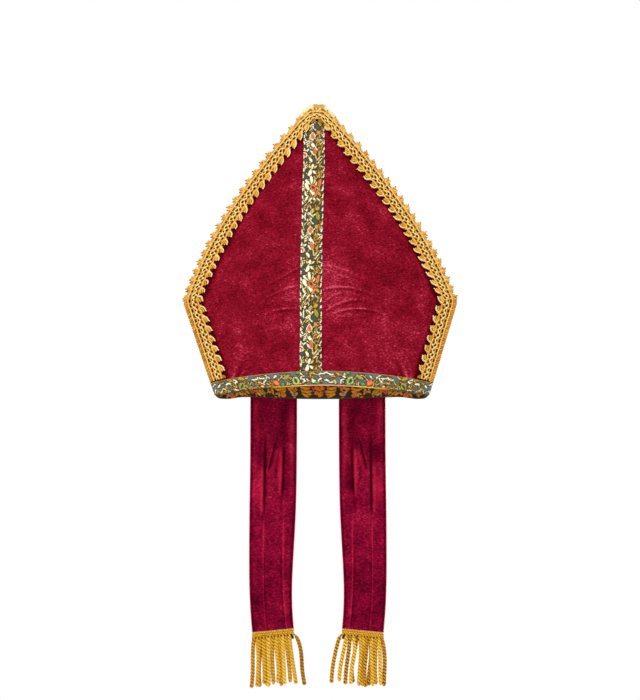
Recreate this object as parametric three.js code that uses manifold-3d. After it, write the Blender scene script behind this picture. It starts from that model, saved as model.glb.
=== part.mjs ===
// A bishop's mitre in velvet, with gold lace, a brocade ribbon and two fringed lappets.
// Millimetres, +Z up. The front faces -Y, and the origin is the middle of the rim opening,
// where the hat sits on a head.

import * as THREE from 'three';
import { mergeVertices } from 'three/addons/utils/BufferGeometryUtils.js';
import Module from 'manifold-3d';

const wasm = await Module();
wasm.setup();

const { lerp, smoothstep } = THREE.MathUtils;
const FRONT = -1;
const BACK = 1;

// Outline of a panel, seen from the front
const RIM_HALF_WIDTH = 132.5;
const CORNER_HALF_WIDTH = 171.5;
const CORNER_HEIGHT = 120;
const PEAK_HALF_WIDTH = 10.5;
const PEAK_HEIGHT = 376.5;
const PEAK_LEAN = -6.5; // the soft peak hangs a little to the wearer's right
const SLOPE_BULGE = 18.5; // the slopes swell this far outside a straight line
const SLOPE_SKEW = 0.87; // below 1, the fullest place is below the middle of the slope
const CORNER_TURN = 0.46; // how fast the half-width shrinks just over the corner
const CORNER_SOFTNESS = 32; // the middle of a panel rounds the corner off over this much width
const EDGE_GRIP = 6; // the higher, the nearer to its edge a panel keeps the sharp corner

// The lens that the two panels make, seen from above
const RIM_DEPTH = 52; // half of the rim opening, front to back
const PEAK_DEPTH = 6.5;
const DEPTH_POWER = 1.55;
const SLOPE_GAP = 5; // from the middle plane to the outside of a slope's edge
const SEAM_GAP = 0.15; // from the middle plane to a panel at its side seam
const SEAM_END = CORNER_HEIGHT - 9; // the side seam opens between these two heights
const SLOPE_START = CORNER_HEIGHT + 9;
const PANEL_WALL = 2;
const BLUNT_POWER = 0.68; // power of the lens's parabola at the rim, which blunts its ends
const SHARP_HEIGHT = 100; // from this height its ends are sharp
// How far the rim rises at the middle of each side, and how flat its rise is there
const RIM_ARCH = {
  [FRONT]: { rise: 5.5, power: 1.5 },
  [BACK]: { rise: 7.2, power: 6 },
};

// Soft drag lines in the front velvet: distance from the ribbon at each end, height at each end,
// how far the middle of the line arches up, and its depth
const DRAG_LINES = [
  { from: 5, to: 62, start: 158, end: 138, arch: 3, depth: 1.2 },
  { from: 5, to: 70, start: 125, end: 115, arch: 9, depth: 1.5 },
  { from: 5, to: 56, start: 103, end: 110, arch: 8, depth: 1.3 },
  { from: 6, to: 78, start: 92, end: 90, arch: 12, depth: 1.4 },
  { from: 10, to: 66, start: 74, end: 76, arch: 8, depth: 1 },
  { from: -5, to: -52, start: 156, end: 136, arch: 2, depth: 1.1 },
  { from: -5, to: -56, start: 126, end: 116, arch: 4, depth: 1.3 },
  { from: -5, to: -64, start: 97, end: 91, arch: 6, depth: 1.2 },
  { from: -8, to: -60, start: 72, end: 68, arch: 5, depth: 1 },
];
const DRAG_WIDTH = 7;

// Heights of the panels' rows, closer on the front where the velvet has drag lines
const LOW_ROWS = [0, 15, 32];
const CORNER_ROWS = [SEAM_END, CORNER_HEIGHT, SLOPE_START];
const HIGH_ROWS = [215, 240, 265, 292, 318, 342, 361, PEAK_HEIGHT];
const FRONT_ROWS = [
  ...LOW_ROWS, 44, 54, 63, 72, 81, 90, 101, ...CORNER_ROWS, 139, 148, 157, 166, 175, 190, ...HIGH_ROWS,
];
const BACK_ROWS = [...LOW_ROWS, 55, 84, ...CORNER_ROWS, 160, 188, ...HIGH_ROWS];
const COLUMNS = 18;

// Brocade binding round the rim
const TRIM_GAP = 0.4; // between a trim and the cloth under it
const BAND_WALL = 1;
const BAND_HEIGHT = { end: 16, middle: 16.5 };
const FACING_HEIGHT = { end: 14, middle: 17 };
const BAND_UNDER = 0.3; // gap under the panels' lower edge

// Upright brocade ribbon
const RIBBON_WIDTH = 27;
const RIBBON_FOOT_X = -14;
const RIBBON_TOP_X = -9.2;
const RIBBON_WALL = 0.9;
const RIBBON_ROW_GAP = 3; // least height between the ribbon's ends and its next rows

// Gold lace round each panel
const LACE_WIDTH = 27;
const LACE_WALL = 1.3;
const LACE_LIFT = 0.8; // over the velvet
const LACE_FOOT_LIFT = 1.5; // more over the blunt ends of the side seams
const LACE_PEAK_LIFT = 2.1; // over the velvet where it also covers the ribbon
const PEAK_LIFT_FROM = 294;
const PEAK_LIFT_TO = 318;
const LACE_LOBE = 3; // how far a lobe stands past the edge on the slopes
const LACE_SIDE_OVERHANG = 0.8; // over the side seams
const LACE_FAN = 3; // depth of the fans on the inner side
const LACE_WAIST = 12; // from the edge to the middle of a repeat
const LACE_PITCH = 13; // length of a repeat, before it is fitted to the edge
const LACE_TURN = 0.38; // share of the width by which the inner side starts its slope higher
const LACE_FOOT = { outer: 1.8, inner: 6.4 }; // how far the lace ends over the rim binding
const SLOPE_REPEATS = 22;
const SIDE_REPEATS = 8;
const LACE_MITRE_HALF = 2.5; // half the width of the mitre's foot under the peak
const EYELET = { from: 0.26, to: 0.74, near: 9, far: 15 };

// Gold satin fold between the slopes
const GUSSET_LIP = 1.6; // stands past the panels' edge
const GUSSET_SINK = 11;
const GUSSET_HALF_WIDTH = 2.7;
const GUSSET_WALL = 1;
const GUSSET_STATIONS = 10;
const GUSSET_START = SLOPE_START + 2;
const GUSSET_FLOOR = { outer: 2, inner: 3, half: 1.3 }; // heights and half-width of the fold's floor

// Velvet lappets at the back
const LAPPET_TOP = 12; // over the rim
const LAPPET_LENGTH = 288; // under the rim
const LAPPET_WALL = 2;
const LAPPET_WIDTH = { top: 59, bottom: 52 };
const LAPPET_SLANT = 5; // the outer corner hangs this much lower
const LAPPET_FLATTENS = 110; // by this drop it no longer follows the rim's bow, and it tapers on
const LAPPET_SWAY = 3; // how far it swings outwards at its fullest, well below its middle
const SWAY_POWER = 3;
// Drop under the rim, and how deep the two pressed creases are there
const LAPPET_ROWS = [
  { drop: -LAPPET_TOP, crease: 0 },
  { drop: -4, crease: 0 },
  { drop: 8, crease: 0.6 },
  { drop: 30, crease: 2.4 },
  { drop: 55, crease: 4 },
  { drop: 90, crease: 4.4 },
  { drop: 120, crease: 3.6 },
  { drop: 150, crease: 1.8 },
  { drop: 190, crease: 1.2 },
  { drop: 235, crease: 1.5 },
  { drop: LAPPET_LENGTH, crease: 1 },
];
// Place across the lappet, from its outer edge, and the share of the crease's depth there
const LAPPET_COLUMNS = [
  { across: 0, share: 0 },
  { across: 0.16, share: -0.35 },
  { across: 0.32, share: 1 },
  { across: 0.44, share: 0.1 },
  { across: 0.6, share: 0 },
  { across: 0.73, share: 0.9 },
  { across: 0.86, share: -0.3 },
  { across: 1, share: 0 },
];
const LAPPETS = [
  { side: 'left', centre: -61, outward: -1 },
  { side: 'right', centre: 51, outward: 1 },
];

// Bullion fringe
const FRINGE_GAP = 0.3;
const FRINGE_HEAD = { height: 8, thickness: 3.4 };
const FRINGE_LENGTH = 69;
const STRAND_COUNT = 12;
const STRAND_RADIUS = 1.9;
const STRAND_SIDES = 6;
const STRAND_SPREAD = { outer: 3, inner: 12 }; // how far the feet stand past the head
// Share of the way down a strand, and its sway to the side and to the back
const STRAND_STEPS = [
  { down: 0, sway: 0, back: 0 },
  { down: 0.4, sway: 0.8, back: 0.5 },
  { down: 0.75, sway: -0.6, back: -0.4 },
  { down: 1, sway: 0.3, back: 0.2 },
];
const STRAND_LENGTHS = [0.93, 0.98, 0.95, 1, 0.96, 0.99];

const velvet = new THREE.MeshStandardMaterial({ color: 0x8c0a26, roughness: 0.9, metalness: 0 });
const lappetVelvet = new THREE.MeshStandardMaterial({ color: 0x7d0a2c, roughness: 0.9, metalness: 0 });
const brocade = new THREE.MeshStandardMaterial({ color: 0x4a4f4a, roughness: 0.6, metalness: 0 });
const goldLace = new THREE.MeshStandardMaterial({ color: 0xd9a23a, roughness: 0.5, metalness: 0.2 });
const goldSatin = new THREE.MeshStandardMaterial({ color: 0xe6c878, roughness: 0.35, metalness: 0 });
const goldFringe = new THREE.MeshStandardMaterial({ color: 0xdba828, roughness: 0.5, metalness: 0.2 });

const hat = new THREE.Group();

function place(name, geometry, material) {
  const mesh = new THREE.Mesh(geometry, material);
  mesh.name = name;
  hat.add(mesh);
}

// A bare geometry with shared corners merged, from points and triangles
function geometryFrom(points, triangles) {
  const bare = new THREE.BufferGeometry().setFromPoints(points);
  bare.setIndex(triangles);
  return mergeVertices(bare, 1e-4);
}

// Shape of the hat

function middleLine(z) {
  return (PEAK_LEAN * z) / PEAK_HEIGHT;
}

function halfWidth(z) {
  if (z <= CORNER_HEIGHT) {
    return lerp(RIM_HALF_WIDTH, CORNER_HALF_WIDTH, z / CORNER_HEIGHT);
  }
  const up = Math.min((z - CORNER_HEIGHT) / (PEAK_HEIGHT - CORNER_HEIGHT), 1);
  const straight = lerp(CORNER_HALF_WIDTH, PEAK_HALF_WIDTH, up);
  return straight + SLOPE_BULGE * Math.sin(Math.PI * up ** SLOPE_SKEW);
}

// The half-width with its corner rounded off, which the middle of a panel follows
function softHalfWidth(z) {
  const below = lerp(RIM_HALF_WIDTH, CORNER_HALF_WIDTH, z / CORNER_HEIGHT);
  const above = z > CORNER_HEIGHT
    ? halfWidth(z)
    : CORNER_HALF_WIDTH + CORNER_TURN * (CORNER_HEIGHT - z);
  const share = THREE.MathUtils.clamp(0.5 + (above - below) / (2 * CORNER_SOFTNESS), 0, 1);
  return lerp(above, below, share) - CORNER_SOFTNESS * share * (1 - share);
}

function depth(z) {
  const up = THREE.MathUtils.clamp(z / PEAK_HEIGHT, 0, 1);
  return lerp(RIM_DEPTH, PEAK_DEPTH, up ** DEPTH_POWER);
}

// 0 where the panels' edges are sewn together, 1 where the slopes stand apart
function openness(z) {
  return smoothstep(z, SEAM_END, SLOPE_START);
}

function ribbonCentre(z) {
  return lerp(RIBBON_FOOT_X, RIBBON_TOP_X, z / PEAK_HEIGHT);
}

// Depth of the drag lines in the front velvet at a place
function dragDepth(x, z) {
  let deep = 0;
  for (const line of DRAG_LINES) {
    const along = (x - ribbonCentre(z) - Math.sign(line.from) * (RIBBON_WIDTH / 2) - line.from)
      / (line.to - line.from);
    if (along <= 0 || along >= 1) continue;
    const middle = lerp(line.start, line.end, along) + 4 * line.arch * along * (1 - along);
    const off = (z - middle) / DRAG_WIDTH;
    deep += line.depth * Math.sin(Math.PI * along) * Math.exp(-off * off);
  }
  return deep;
}

// 0 at the rim, where the lens has blunt ends, 1 where they are sharp
function sharpness(z) {
  return smoothstep(z, 0, SHARP_HEIGHT);
}

// How much further out the ends of the lens lie when its sides are lifted, because they stay
// where the two sides meet
function endLift(z, lift) {
  const slant = lerp(Math.PI / 2, Math.atan((2 * depth(z)) / halfWidth(z)), sharpness(z));
  return (lift * (1 - openness(z))) / Math.sin(slant);
}

// A point over a panel, without its drag lines. From above, the panel is half of a lens, a
// parabola between its two edges that is blunter at the rim. A lift moves it out by that distance.
function overSkin(angle, z, side, lift) {
  const edge = lerp(SEAM_GAP, SLOPE_GAP + lift, openness(z));
  const across = Math.sin(angle);
  const bowWidth = lerp(softHalfWidth(z), halfWidth(z), Math.abs(across) ** EDGE_GRIP);
  const lens = Math.max(1 - ((across * halfWidth(z)) / bowWidth) ** 2, 0);
  const bow = lens ** lerp(BLUNT_POWER, 1, sharpness(z));
  return new THREE.Vector3(
    middleLine(z) + (halfWidth(z) + endLift(z, lift)) * across,
    side * lerp(edge, depth(z) + lift, bow),
    z,
  );
}

// The same, from its place seen from the front, which may lie past the panel's edge
function overPanel(x, z, side, lift) {
  const height = Math.min(z, PEAK_HEIGHT);
  const across = (x - middleLine(height)) / (halfWidth(height) + endLift(height, lift));
  const angle = Math.asin(THREE.MathUtils.clamp(across, -1, 1));
  return overSkin(angle, height, side, lift).setX(x).setZ(z);
}

function rimRise(angle, side) {
  const { rise, power } = RIM_ARCH[side];
  return rise * (1 - Math.abs(Math.sin(angle)) ** power);
}

// Solids from grids of points

// A wall between two facing grids, outer and inner, each a list of rows
function wallBetween(outer, inner) {
  const rows = outer.length;
  const columns = outer[0].length;
  const points = [...outer.flat(), ...inner.flat()];
  const at = (layer, row, column) => layer * rows * columns + row * columns + column;
  const triangles = [];
  const quad = (a, b, c, d) => triangles.push(a, b, c, a, c, d);
  for (let r = 0; r + 1 < rows; r += 1) {
    for (let c = 0; c + 1 < columns; c += 1) {
      quad(at(0, r, c), at(0, r, c + 1), at(0, r + 1, c + 1), at(0, r + 1, c));
      quad(at(1, r, c), at(1, r + 1, c), at(1, r + 1, c + 1), at(1, r, c + 1));
    }
    quad(at(0, r, 0), at(0, r + 1, 0), at(1, r + 1, 0), at(1, r, 0));
    const last = columns - 1;
    quad(at(0, r + 1, last), at(0, r, last), at(1, r, last), at(1, r + 1, last));
  }
  for (let c = 0; c + 1 < columns; c += 1) {
    quad(at(0, 0, c + 1), at(0, 0, c), at(1, 0, c), at(1, 0, c + 1));
    const last = rows - 1;
    quad(at(0, last, c), at(0, last, c + 1), at(1, last, c + 1), at(1, last, c));
  }
  return geometryFrom(points, triangles);
}

// A section carried through stations, each a ring of points; a loop joins the last to the first
function carried(stations, isLoop) {
  const size = stations[0].length;
  const points = stations.flat();
  const triangles = [];
  const count = isLoop ? stations.length : stations.length - 1;
  for (let s = 0; s < count; s += 1) {
    const next = (s + 1) % stations.length;
    for (let k = 0; k < size; k += 1) {
      const after = (k + 1) % size;
      const [a, b] = [s * size + k, s * size + after];
      const [c, d] = [next * size + after, next * size + k];
      triangles.push(a, b, c, a, c, d);
    }
  }
  return { points, triangles, size };
}

// Turns a solid the right way out when its triangles face inwards
function facingOut(geometry) {
  const place = geometry.getAttribute('position');
  const corners = geometry.index.array;
  const [a, b, c] = [new THREE.Vector3(), new THREE.Vector3(), new THREE.Vector3()];
  let volume = 0;
  for (let i = 0; i < corners.length; i += 3) {
    a.fromBufferAttribute(place, corners[i]);
    b.fromBufferAttribute(place, corners[i + 1]);
    c.fromBufferAttribute(place, corners[i + 2]);
    volume += a.dot(b.cross(c));
  }
  if (volume > 0) return geometry;
  const turned = [];
  for (let i = 0; i < corners.length; i += 3) {
    turned.push(corners[i], corners[i + 2], corners[i + 1]);
  }
  geometry.setIndex(turned);
  return geometry;
}

// Triangles that fill an outline, round its holes, and run the same way round as the outline
function fill(outline, holes) {
  const { area, triangulateShape } = THREE.ShapeUtils;
  const corners = [outline, ...holes].flat();
  return triangulateShape(outline, holes).map(([a, b, c]) => {
    const isTurned = area([corners[a], corners[b], corners[c]]) * area(outline) < 0;
    return isTurned ? [a, c, b] : [a, b, c];
  });
}

// Closes both ends of a carried section
function closeEnds({ points, triangles, size }, outline) {
  const last = points.length - size;
  for (const [a, b, c] of fill(outline, [])) {
    triangles.push(a, c, b, last + a, last + b, last + c);
  }
}

// Velvet panels

function panel(side, rows, columns, isCreased) {
  const outer = [];
  const inner = [];
  for (const height of rows) {
    const outerRow = [];
    const innerRow = [];
    for (let c = 0; c <= columns; c += 1) {
      const angle = Math.PI * (c / columns - 0.5);
      const lowered = 1 - smoothstep(height, 0, CORNER_HEIGHT);
      const z = height + rimRise(angle, side) * lowered;
      const dent = isCreased ? dragDepth(overSkin(angle, z, side, 0).x, z) : 0;
      outerRow.push(overSkin(angle, z, side, -dent));
      innerRow.push(overSkin(angle, z, side, -dent - PANEL_WALL));
    }
    outer.push(outerRow);
    inner.push(innerRow);
  }
  return facingOut(wallBetween(outer, inner));
}

place('front_panel', panel(FRONT, FRONT_ROWS, COLUMNS, true), velvet);
place('back_panel', panel(BACK, BACK_ROWS, COLUMNS, false), velvet);

// Brocade binding: one loop, folded round the rim

function bandTop(angle, side, heights) {
  return rimRise(angle, side) + lerp(heights.end, heights.middle, Math.cos(angle) ** 2);
}

function bandSection(angle, side) {
  const near = TRIM_GAP;
  const far = TRIM_GAP + BAND_WALL;
  const insideNear = -PANEL_WALL - TRIM_GAP;
  const insideFar = insideNear - BAND_WALL;
  const low = rimRise(angle, side) - BAND_UNDER;
  const top = bandTop(angle, side, BAND_HEIGHT);
  const facing = bandTop(angle, side, FACING_HEIGHT);
  const corners = [
    [far, top], [near, top], [near, low], [insideNear, low],
    [insideNear, facing], [insideFar, facing], [insideFar, low - BAND_WALL], [far, low - BAND_WALL],
  ];
  return corners.map(([lift, z]) => overSkin(angle, z, side, lift));
}

function rimBand() {
  const stations = [];
  for (const side of [FRONT, BACK]) {
    for (let c = 0; c < COLUMNS; c += 1) {
      const angle = -side * Math.PI * (c / COLUMNS - 0.5);
      const ring = bandSection(angle, side);
      if (c === 0) ring.forEach((point) => { point.y = 0; });
      stations.push(ring);
    }
  }
  const { points, triangles } = carried(stations, true);
  return facingOut(geometryFrom(points, triangles));
}
place('rim_band', rimBand(), brocade);

// Lace: lines across it, from the panel's edge to its inner side, seen from the front

function edgePoint(z, way) {
  return new THREE.Vector2(middleLine(z) + way * halfWidth(z), z);
}

function insetPoint(z, way, inset) {
  const along = edgePoint(z + 1, way).sub(edgePoint(z - 1, way)).normalize();
  const inward = new THREE.Vector2(-along.y, along.x).multiplyScalar(way);
  return edgePoint(z, way).addScaledVector(inward, inset);
}

// Height on the slope whose inset point lies a given distance from the middle line
function mitreHeight(inset, fromMiddle) {
  let low = (CORNER_HEIGHT + PEAK_HEIGHT) / 2;
  let high = PEAK_HEIGHT - 1;
  for (let i = 0; i < 40; i += 1) {
    const z = (low + high) / 2;
    const point = insetPoint(z, 1, inset);
    if (point.x - middleLine(point.y) > fromMiddle) low = z;
    else high = z;
  }
  return low;
}

function laceMitreFoot() {
  return insetPoint(mitreHeight(LACE_WIDTH + LACE_FAN, LACE_MITRE_HALF), 1, LACE_WIDTH + LACE_FAN).y;
}

function laceLines(way) {
  const slopeStart = CORNER_HEIGHT + LACE_TURN * LACE_WIDTH;
  const slopeEnd = mitreHeight(LACE_WIDTH, LACE_MITRE_HALF);
  const sideFoot = BAND_HEIGHT.end + LACE_FOOT.outer;
  const innerFoot = BAND_HEIGHT.end + LACE_FOOT.inner;
  const innerCorner = insetPoint(slopeStart, way, LACE_WIDTH);
  const lines = [];
  for (let i = 0; i <= SIDE_REPEATS; i += 1) {
    const share = i / SIDE_REPEATS;
    const z = lerp(sideFoot, CORNER_HEIGHT, share);
    const outer = edgePoint(z, way);
    outer.x += way * LACE_SIDE_OVERHANG * (1 - openness(z));
    const foot = insetPoint(innerFoot, way, LACE_WIDTH);
    foot.y = innerFoot;
    lines.push({ outer, inner: foot.lerp(innerCorner, share), lobe: 0 });
  }
  for (let i = 1; i <= SLOPE_REPEATS; i += 1) {
    const share = i / SLOPE_REPEATS;
    const outer = edgePoint(lerp(CORNER_HEIGHT, PEAK_HEIGHT, share), way);
    const inner = insetPoint(lerp(slopeStart, slopeEnd, share), way, LACE_WIDTH);
    lines.push({ outer, inner, lobe: LACE_LOBE });
  }
  return lines;
}

// One repeat of the lace, as places along it (0 to 1) and across it in millimetres
const REPEAT_EDGE = [
  { along: 0, across: 0 }, { along: 0.28, lobe: 1 }, { along: 0.72, lobe: 1 }, { along: 1, across: 0 },
  { along: 1, across: LACE_WAIST }, { along: 1, across: LACE_WIDTH },
  { along: 0.5, across: LACE_WIDTH + LACE_FAN },
  { along: 0, across: LACE_WIDTH }, { along: 0, across: LACE_WAIST },
];
const REPEAT_HOLE = [
  { along: EYELET.from, across: (EYELET.near + EYELET.far) / 2 }, { along: 0.5, across: EYELET.far },
  { along: EYELET.to, across: (EYELET.near + EYELET.far) / 2 }, { along: 0.5, across: EYELET.near },
];

function laceLift(z) {
  const overRibbon = lerp(LACE_LIFT, LACE_PEAK_LIFT, smoothstep(z, PEAK_LIFT_FROM, PEAK_LIFT_TO));
  return overRibbon + LACE_FOOT_LIFT * (1 - sharpness(z));
}

function laceFor(side) {
  const lines = [...laceLines(-1), ...laceLines(1).reverse()];
  const flat = (corner) => new THREE.Vector2(corner.along * LACE_PITCH, corner.across ?? -LACE_LOBE);
  const pierced = fill(REPEAT_EDGE.map(flat), [REPEAT_HOLE.map(flat)]);
  const whole = fill(REPEAT_EDGE.map(flat), []);
  const points = [];
  const triangles = [];
  for (let i = 0; i + 1 < lines.length; i += 1) {
    const [start, end] = [lines[i], lines[i + 1]];
    const isPeak = start.outer.y > PEAK_HEIGHT - 1 && end.outer.y > PEAK_HEIGHT - 1;
    const lobe = isPeak ? LACE_LOBE : Math.min(start.lobe + end.lobe, LACE_LOBE);
    const corners = [...REPEAT_EDGE, ...(isPeak ? [] : REPEAT_HOLE)];
    const seen = corners.map((corner) => {
      const outer = start.outer.clone().lerp(end.outer, corner.along);
      const inner = start.inner.clone().lerp(end.inner, corner.along);
      const across = corner.across ?? -lobe * corner.lobe;
      const width = outer.distanceTo(inner);
      const share = across < 0 ? across / width : across / LACE_WIDTH;
      return outer.lerp(inner, share);
    });
    const cell = isPeak ? whole : pierced;
    const base = points.length;
    const size = seen.length;
    for (const wall of [LACE_WALL, 0]) {
      points.push(...seen.map((place) => overPanel(place.x, place.y, side, laceLift(place.y) + wall)));
    }
    for (const [a, b, c] of cell) {
      triangles.push(base + a, base + b, base + c, base + size + a, base + size + c, base + size + b);
    }
    const edge = (a, b) => {
      triangles.push(base + b, base + a, base + size + a, base + b, base + size + a, base + size + b);
    };
    [[0, 1], [1, 2], [2, 3], [5, 6], [6, 7]].forEach(([a, b]) => edge(a, b));
    if (!isPeak) [[9, 10], [10, 11], [11, 12], [12, 9]].forEach(([a, b]) => edge(a, b));
    if (i === 0) [[7, 8], [8, 0]].forEach(([a, b]) => edge(a, b));
    if (i === lines.length - 2) [[3, 4], [4, 5]].forEach(([a, b]) => edge(a, b));
  }
  return facingOut(geometryFrom(points, triangles));
}
place('front_lace', laceFor(FRONT), goldLace);
place('back_lace', laceFor(BACK), goldLace);

// Upright ribbon

function frontRibbon() {
  const outer = [];
  const inner = [];
  const foot = bandTop(0, FRONT, BAND_HEIGHT) + TRIM_GAP;
  const top = laceMitreFoot();
  const between = FRONT_ROWS.filter((z) => z > foot + RIBBON_ROW_GAP && z < top - RIBBON_ROW_GAP);
  const heights = [foot, ...between, top];
  for (const z of heights) {
    const across = [-0.5, 0, 0.5].map((share) => ribbonCentre(z) + share * RIBBON_WIDTH);
    outer.push(across.map((x) => overPanel(x, z, FRONT, TRIM_GAP + RIBBON_WALL)));
    inner.push(across.map((x) => overPanel(x, z, FRONT, TRIM_GAP)));
  }
  return facingOut(wallBetween(outer, inner));
}
place('front_ribbon', frontRibbon(), brocade);

// Gold satin fold between the slopes, open at the top like a valley

function slopePath() {
  const path = [];
  for (let i = 0; i <= GUSSET_STATIONS; i += 1) {
    path.push(edgePoint(lerp(GUSSET_START, PEAK_HEIGHT, i / GUSSET_STATIONS), -1));
  }
  for (let i = GUSSET_STATIONS; i >= 0; i -= 1) {
    path.push(edgePoint(lerp(GUSSET_START, PEAK_HEIGHT, i / GUSSET_STATIONS), 1));
  }
  return path;
}

// A path moved to its right-hand side by a distance, with mitred corners
function movedPath(path, distance) {
  return path.map((point, i) => {
    const before = point.clone().sub(path[Math.max(i - 1, 0)]);
    const after = path[Math.min(i + 1, path.length - 1)].clone().sub(point);
    const ways = [before, after].filter((way) => way.lengthSq() > 0).map((way) => way.normalize());
    const sides = ways.map((way) => new THREE.Vector2(way.y, -way.x));
    const mean = sides.length === 2 ? sides[0].clone().add(sides[1]).normalize() : sides[0];
    return point.clone().addScaledVector(mean, distance / mean.dot(sides[0]));
  });
}

function peakGusset() {
  const [wide, narrow] = [GUSSET_HALF_WIDTH, GUSSET_HALF_WIDTH - GUSSET_WALL];
  const { outer, inner, half } = GUSSET_FLOOR;
  const section = [
    [-wide, -GUSSET_LIP], [-wide, GUSSET_SINK - outer], [-half, GUSSET_SINK],
    [half, GUSSET_SINK], [wide, GUSSET_SINK - outer], [wide, -GUSSET_LIP],
    [narrow, -GUSSET_LIP], [narrow, GUSSET_SINK - inner],
    [-narrow, GUSSET_SINK - inner], [-narrow, -GUSSET_LIP],
  ];
  const path = slopePath();
  const rails = section.map(([y, sink]) => movedPath(path, sink).map((p) => new THREE.Vector3(p.x, y, p.y)));
  const stations = path.map((_, i) => rails.map((rail) => rail[i]));
  const solid = carried(stations, false);
  closeEnds(solid, section.map(([y, sink]) => new THREE.Vector2(y, sink)));
  return facingOut(geometryFrom(solid.points, solid.triangles));
}
place('peak_gusset', peakGusset(), goldSatin);

// Lappets and their fringes

function lappetWidth(drop) {
  return lerp(LAPPET_WIDTH.top, LAPPET_WIDTH.bottom, smoothstep(drop, LAPPET_FLATTENS, LAPPET_LENGTH));
}

// The lappet's front face at a drop under the rim; across runs from its outer edge
function lappetFace(lappet, across, drop, crease, lift) {
  const hung = Math.max(drop, 0) / LAPPET_LENGTH;
  const sway = LAPPET_SWAY * Math.sin(Math.PI * hung ** SWAY_POWER);
  const x = lappet.centre + lappet.outward * (sway + (0.5 - across) * lappetWidth(drop));
  const slant = LAPPET_SLANT * (0.5 - across) * smoothstep(drop, LAPPET_FLATTENS, LAPPET_LENGTH);
  const onBand = BAND_WALL + 2 * TRIM_GAP + lift;
  const bowed = overPanel(x, Math.max(-drop, 0), BACK, onBand);
  const middle = overPanel(lappet.centre, 0, BACK, onBand);
  const y = lerp(bowed.y, middle.y, smoothstep(drop, 0, LAPPET_FLATTENS)) + crease;
  return new THREE.Vector3(x, y, -drop - slant);
}

function lappetSolid(lappet) {
  const face = (lift) => LAPPET_ROWS.map(({ drop, crease }) => LAPPET_COLUMNS.map(
    ({ across, share }) => lappetFace(lappet, across, drop, crease * share, lift),
  ));
  return facingOut(wallBetween(face(LAPPET_WALL), face(0)));
}

function manifoldFrom(geometry) {
  return new wasm.Manifold(new wasm.Mesh({
    numProp: 3,
    vertProperties: new Float32Array(geometry.getAttribute('position').array),
    triVerts: new Uint32Array(geometry.index.array),
  }));
}

function geometryOf(manifold) {
  const { vertProperties, triVerts } = manifold.getMesh();
  const geometry = new THREE.BufferGeometry();
  geometry.setAttribute('position', new THREE.BufferAttribute(new Float32Array(vertProperties), 3));
  geometry.setIndex(Array.from(triVerts));
  return geometry;
}

function strand(head, foot, shape) {
  const ring = (middle, isLast) => {
    const radius = isLast ? STRAND_RADIUS * 0.8 : STRAND_RADIUS;
    return shape.map((turn) => new THREE.Vector3(
      middle.x + radius * Math.cos(turn),
      middle.y + radius * Math.sin(turn),
      middle.z,
    ));
  };
  const stations = STRAND_STEPS.map(({ down, sway, back }, i) => {
    const middle = head.clone().lerp(foot, down).add(new THREE.Vector3(sway, back, 0));
    return ring(middle, i === STRAND_STEPS.length - 1);
  });
  const solid = carried(stations, false);
  closeEnds(solid, shape.map((turn) => new THREE.Vector2(Math.cos(turn), Math.sin(turn))));
  return facingOut(geometryFrom(solid.points, solid.triangles));
}

function fringeSolid(lappet) {
  const edge = (across, below, back) => {
    const face = lappetFace(lappet, across, LAPPET_LENGTH, 0, LAPPET_WALL / 2);
    return face.add(new THREE.Vector3(0, back, -below));
  };
  const halfThick = FRINGE_HEAD.thickness / 2;
  const rows = [FRINGE_GAP, FRINGE_GAP + FRINGE_HEAD.height];
  const face = (back) => rows.map((below) => [0, 1].map((across) => edge(across, below, back)));
  let whole = manifoldFrom(facingOut(wallBetween(face(halfThick), face(-halfThick))));
  const shape = Array.from({ length: STRAND_SIDES }, (_, k) => (k * 2 * Math.PI) / STRAND_SIDES);
  for (let i = 0; i < STRAND_COUNT; i += 1) {
    const across = (i + 0.5) / STRAND_COUNT;
    const length = FRINGE_LENGTH * STRAND_LENGTHS[i % STRAND_LENGTHS.length];
    const spread = lerp(STRAND_SPREAD.outer, -STRAND_SPREAD.inner, across) * lappet.outward;
    const head = edge(across, FRINGE_GAP + FRINGE_HEAD.height / 2, 0);
    const foot = edge(across, length, 0).add(new THREE.Vector3(spread, 0, 0));
    whole = whole.add(manifoldFrom(strand(head, foot, shape)));
  }
  return geometryOf(whole);
}

for (const lappet of LAPPETS) {
  place(`lappet_${lappet.side}`, lappetSolid(lappet), lappetVelvet);
  place(`fringe_${lappet.side}`, fringeSolid(lappet), goldFringe);
}

export default hat;
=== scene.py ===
"""A bishop's mitre: two velvet panels edged with gold lace, a brocade band and ribbon, a satin fold
between the slopes, and two fringed lappets.

Shapes are worked out in millimetres, on the same named sizes as the solids that they stand for, and
are turned to metres where a mesh is made. The front faces -Y."""

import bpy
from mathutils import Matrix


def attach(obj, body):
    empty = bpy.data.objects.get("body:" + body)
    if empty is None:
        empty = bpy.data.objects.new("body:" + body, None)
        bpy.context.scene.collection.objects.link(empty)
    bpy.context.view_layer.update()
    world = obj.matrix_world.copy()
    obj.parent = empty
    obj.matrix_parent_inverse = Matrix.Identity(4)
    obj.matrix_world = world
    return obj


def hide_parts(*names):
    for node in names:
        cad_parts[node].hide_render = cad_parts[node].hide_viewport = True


bl_info = {
    "name": "Bishop's mitre",
    "version": (1, 0, 0),
    "blender": (4, 5, 0),
    "location": "View3D > Sidebar > Mitre",
    "description": "Velvet mitre with gold lace, brocade, satin and fringed lappets",
    "category": "Add Mesh",
}

import math

import bpy
import numpy as np
from bpy.props import FloatProperty, FloatVectorProperty, IntProperty, PointerProperty

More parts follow.
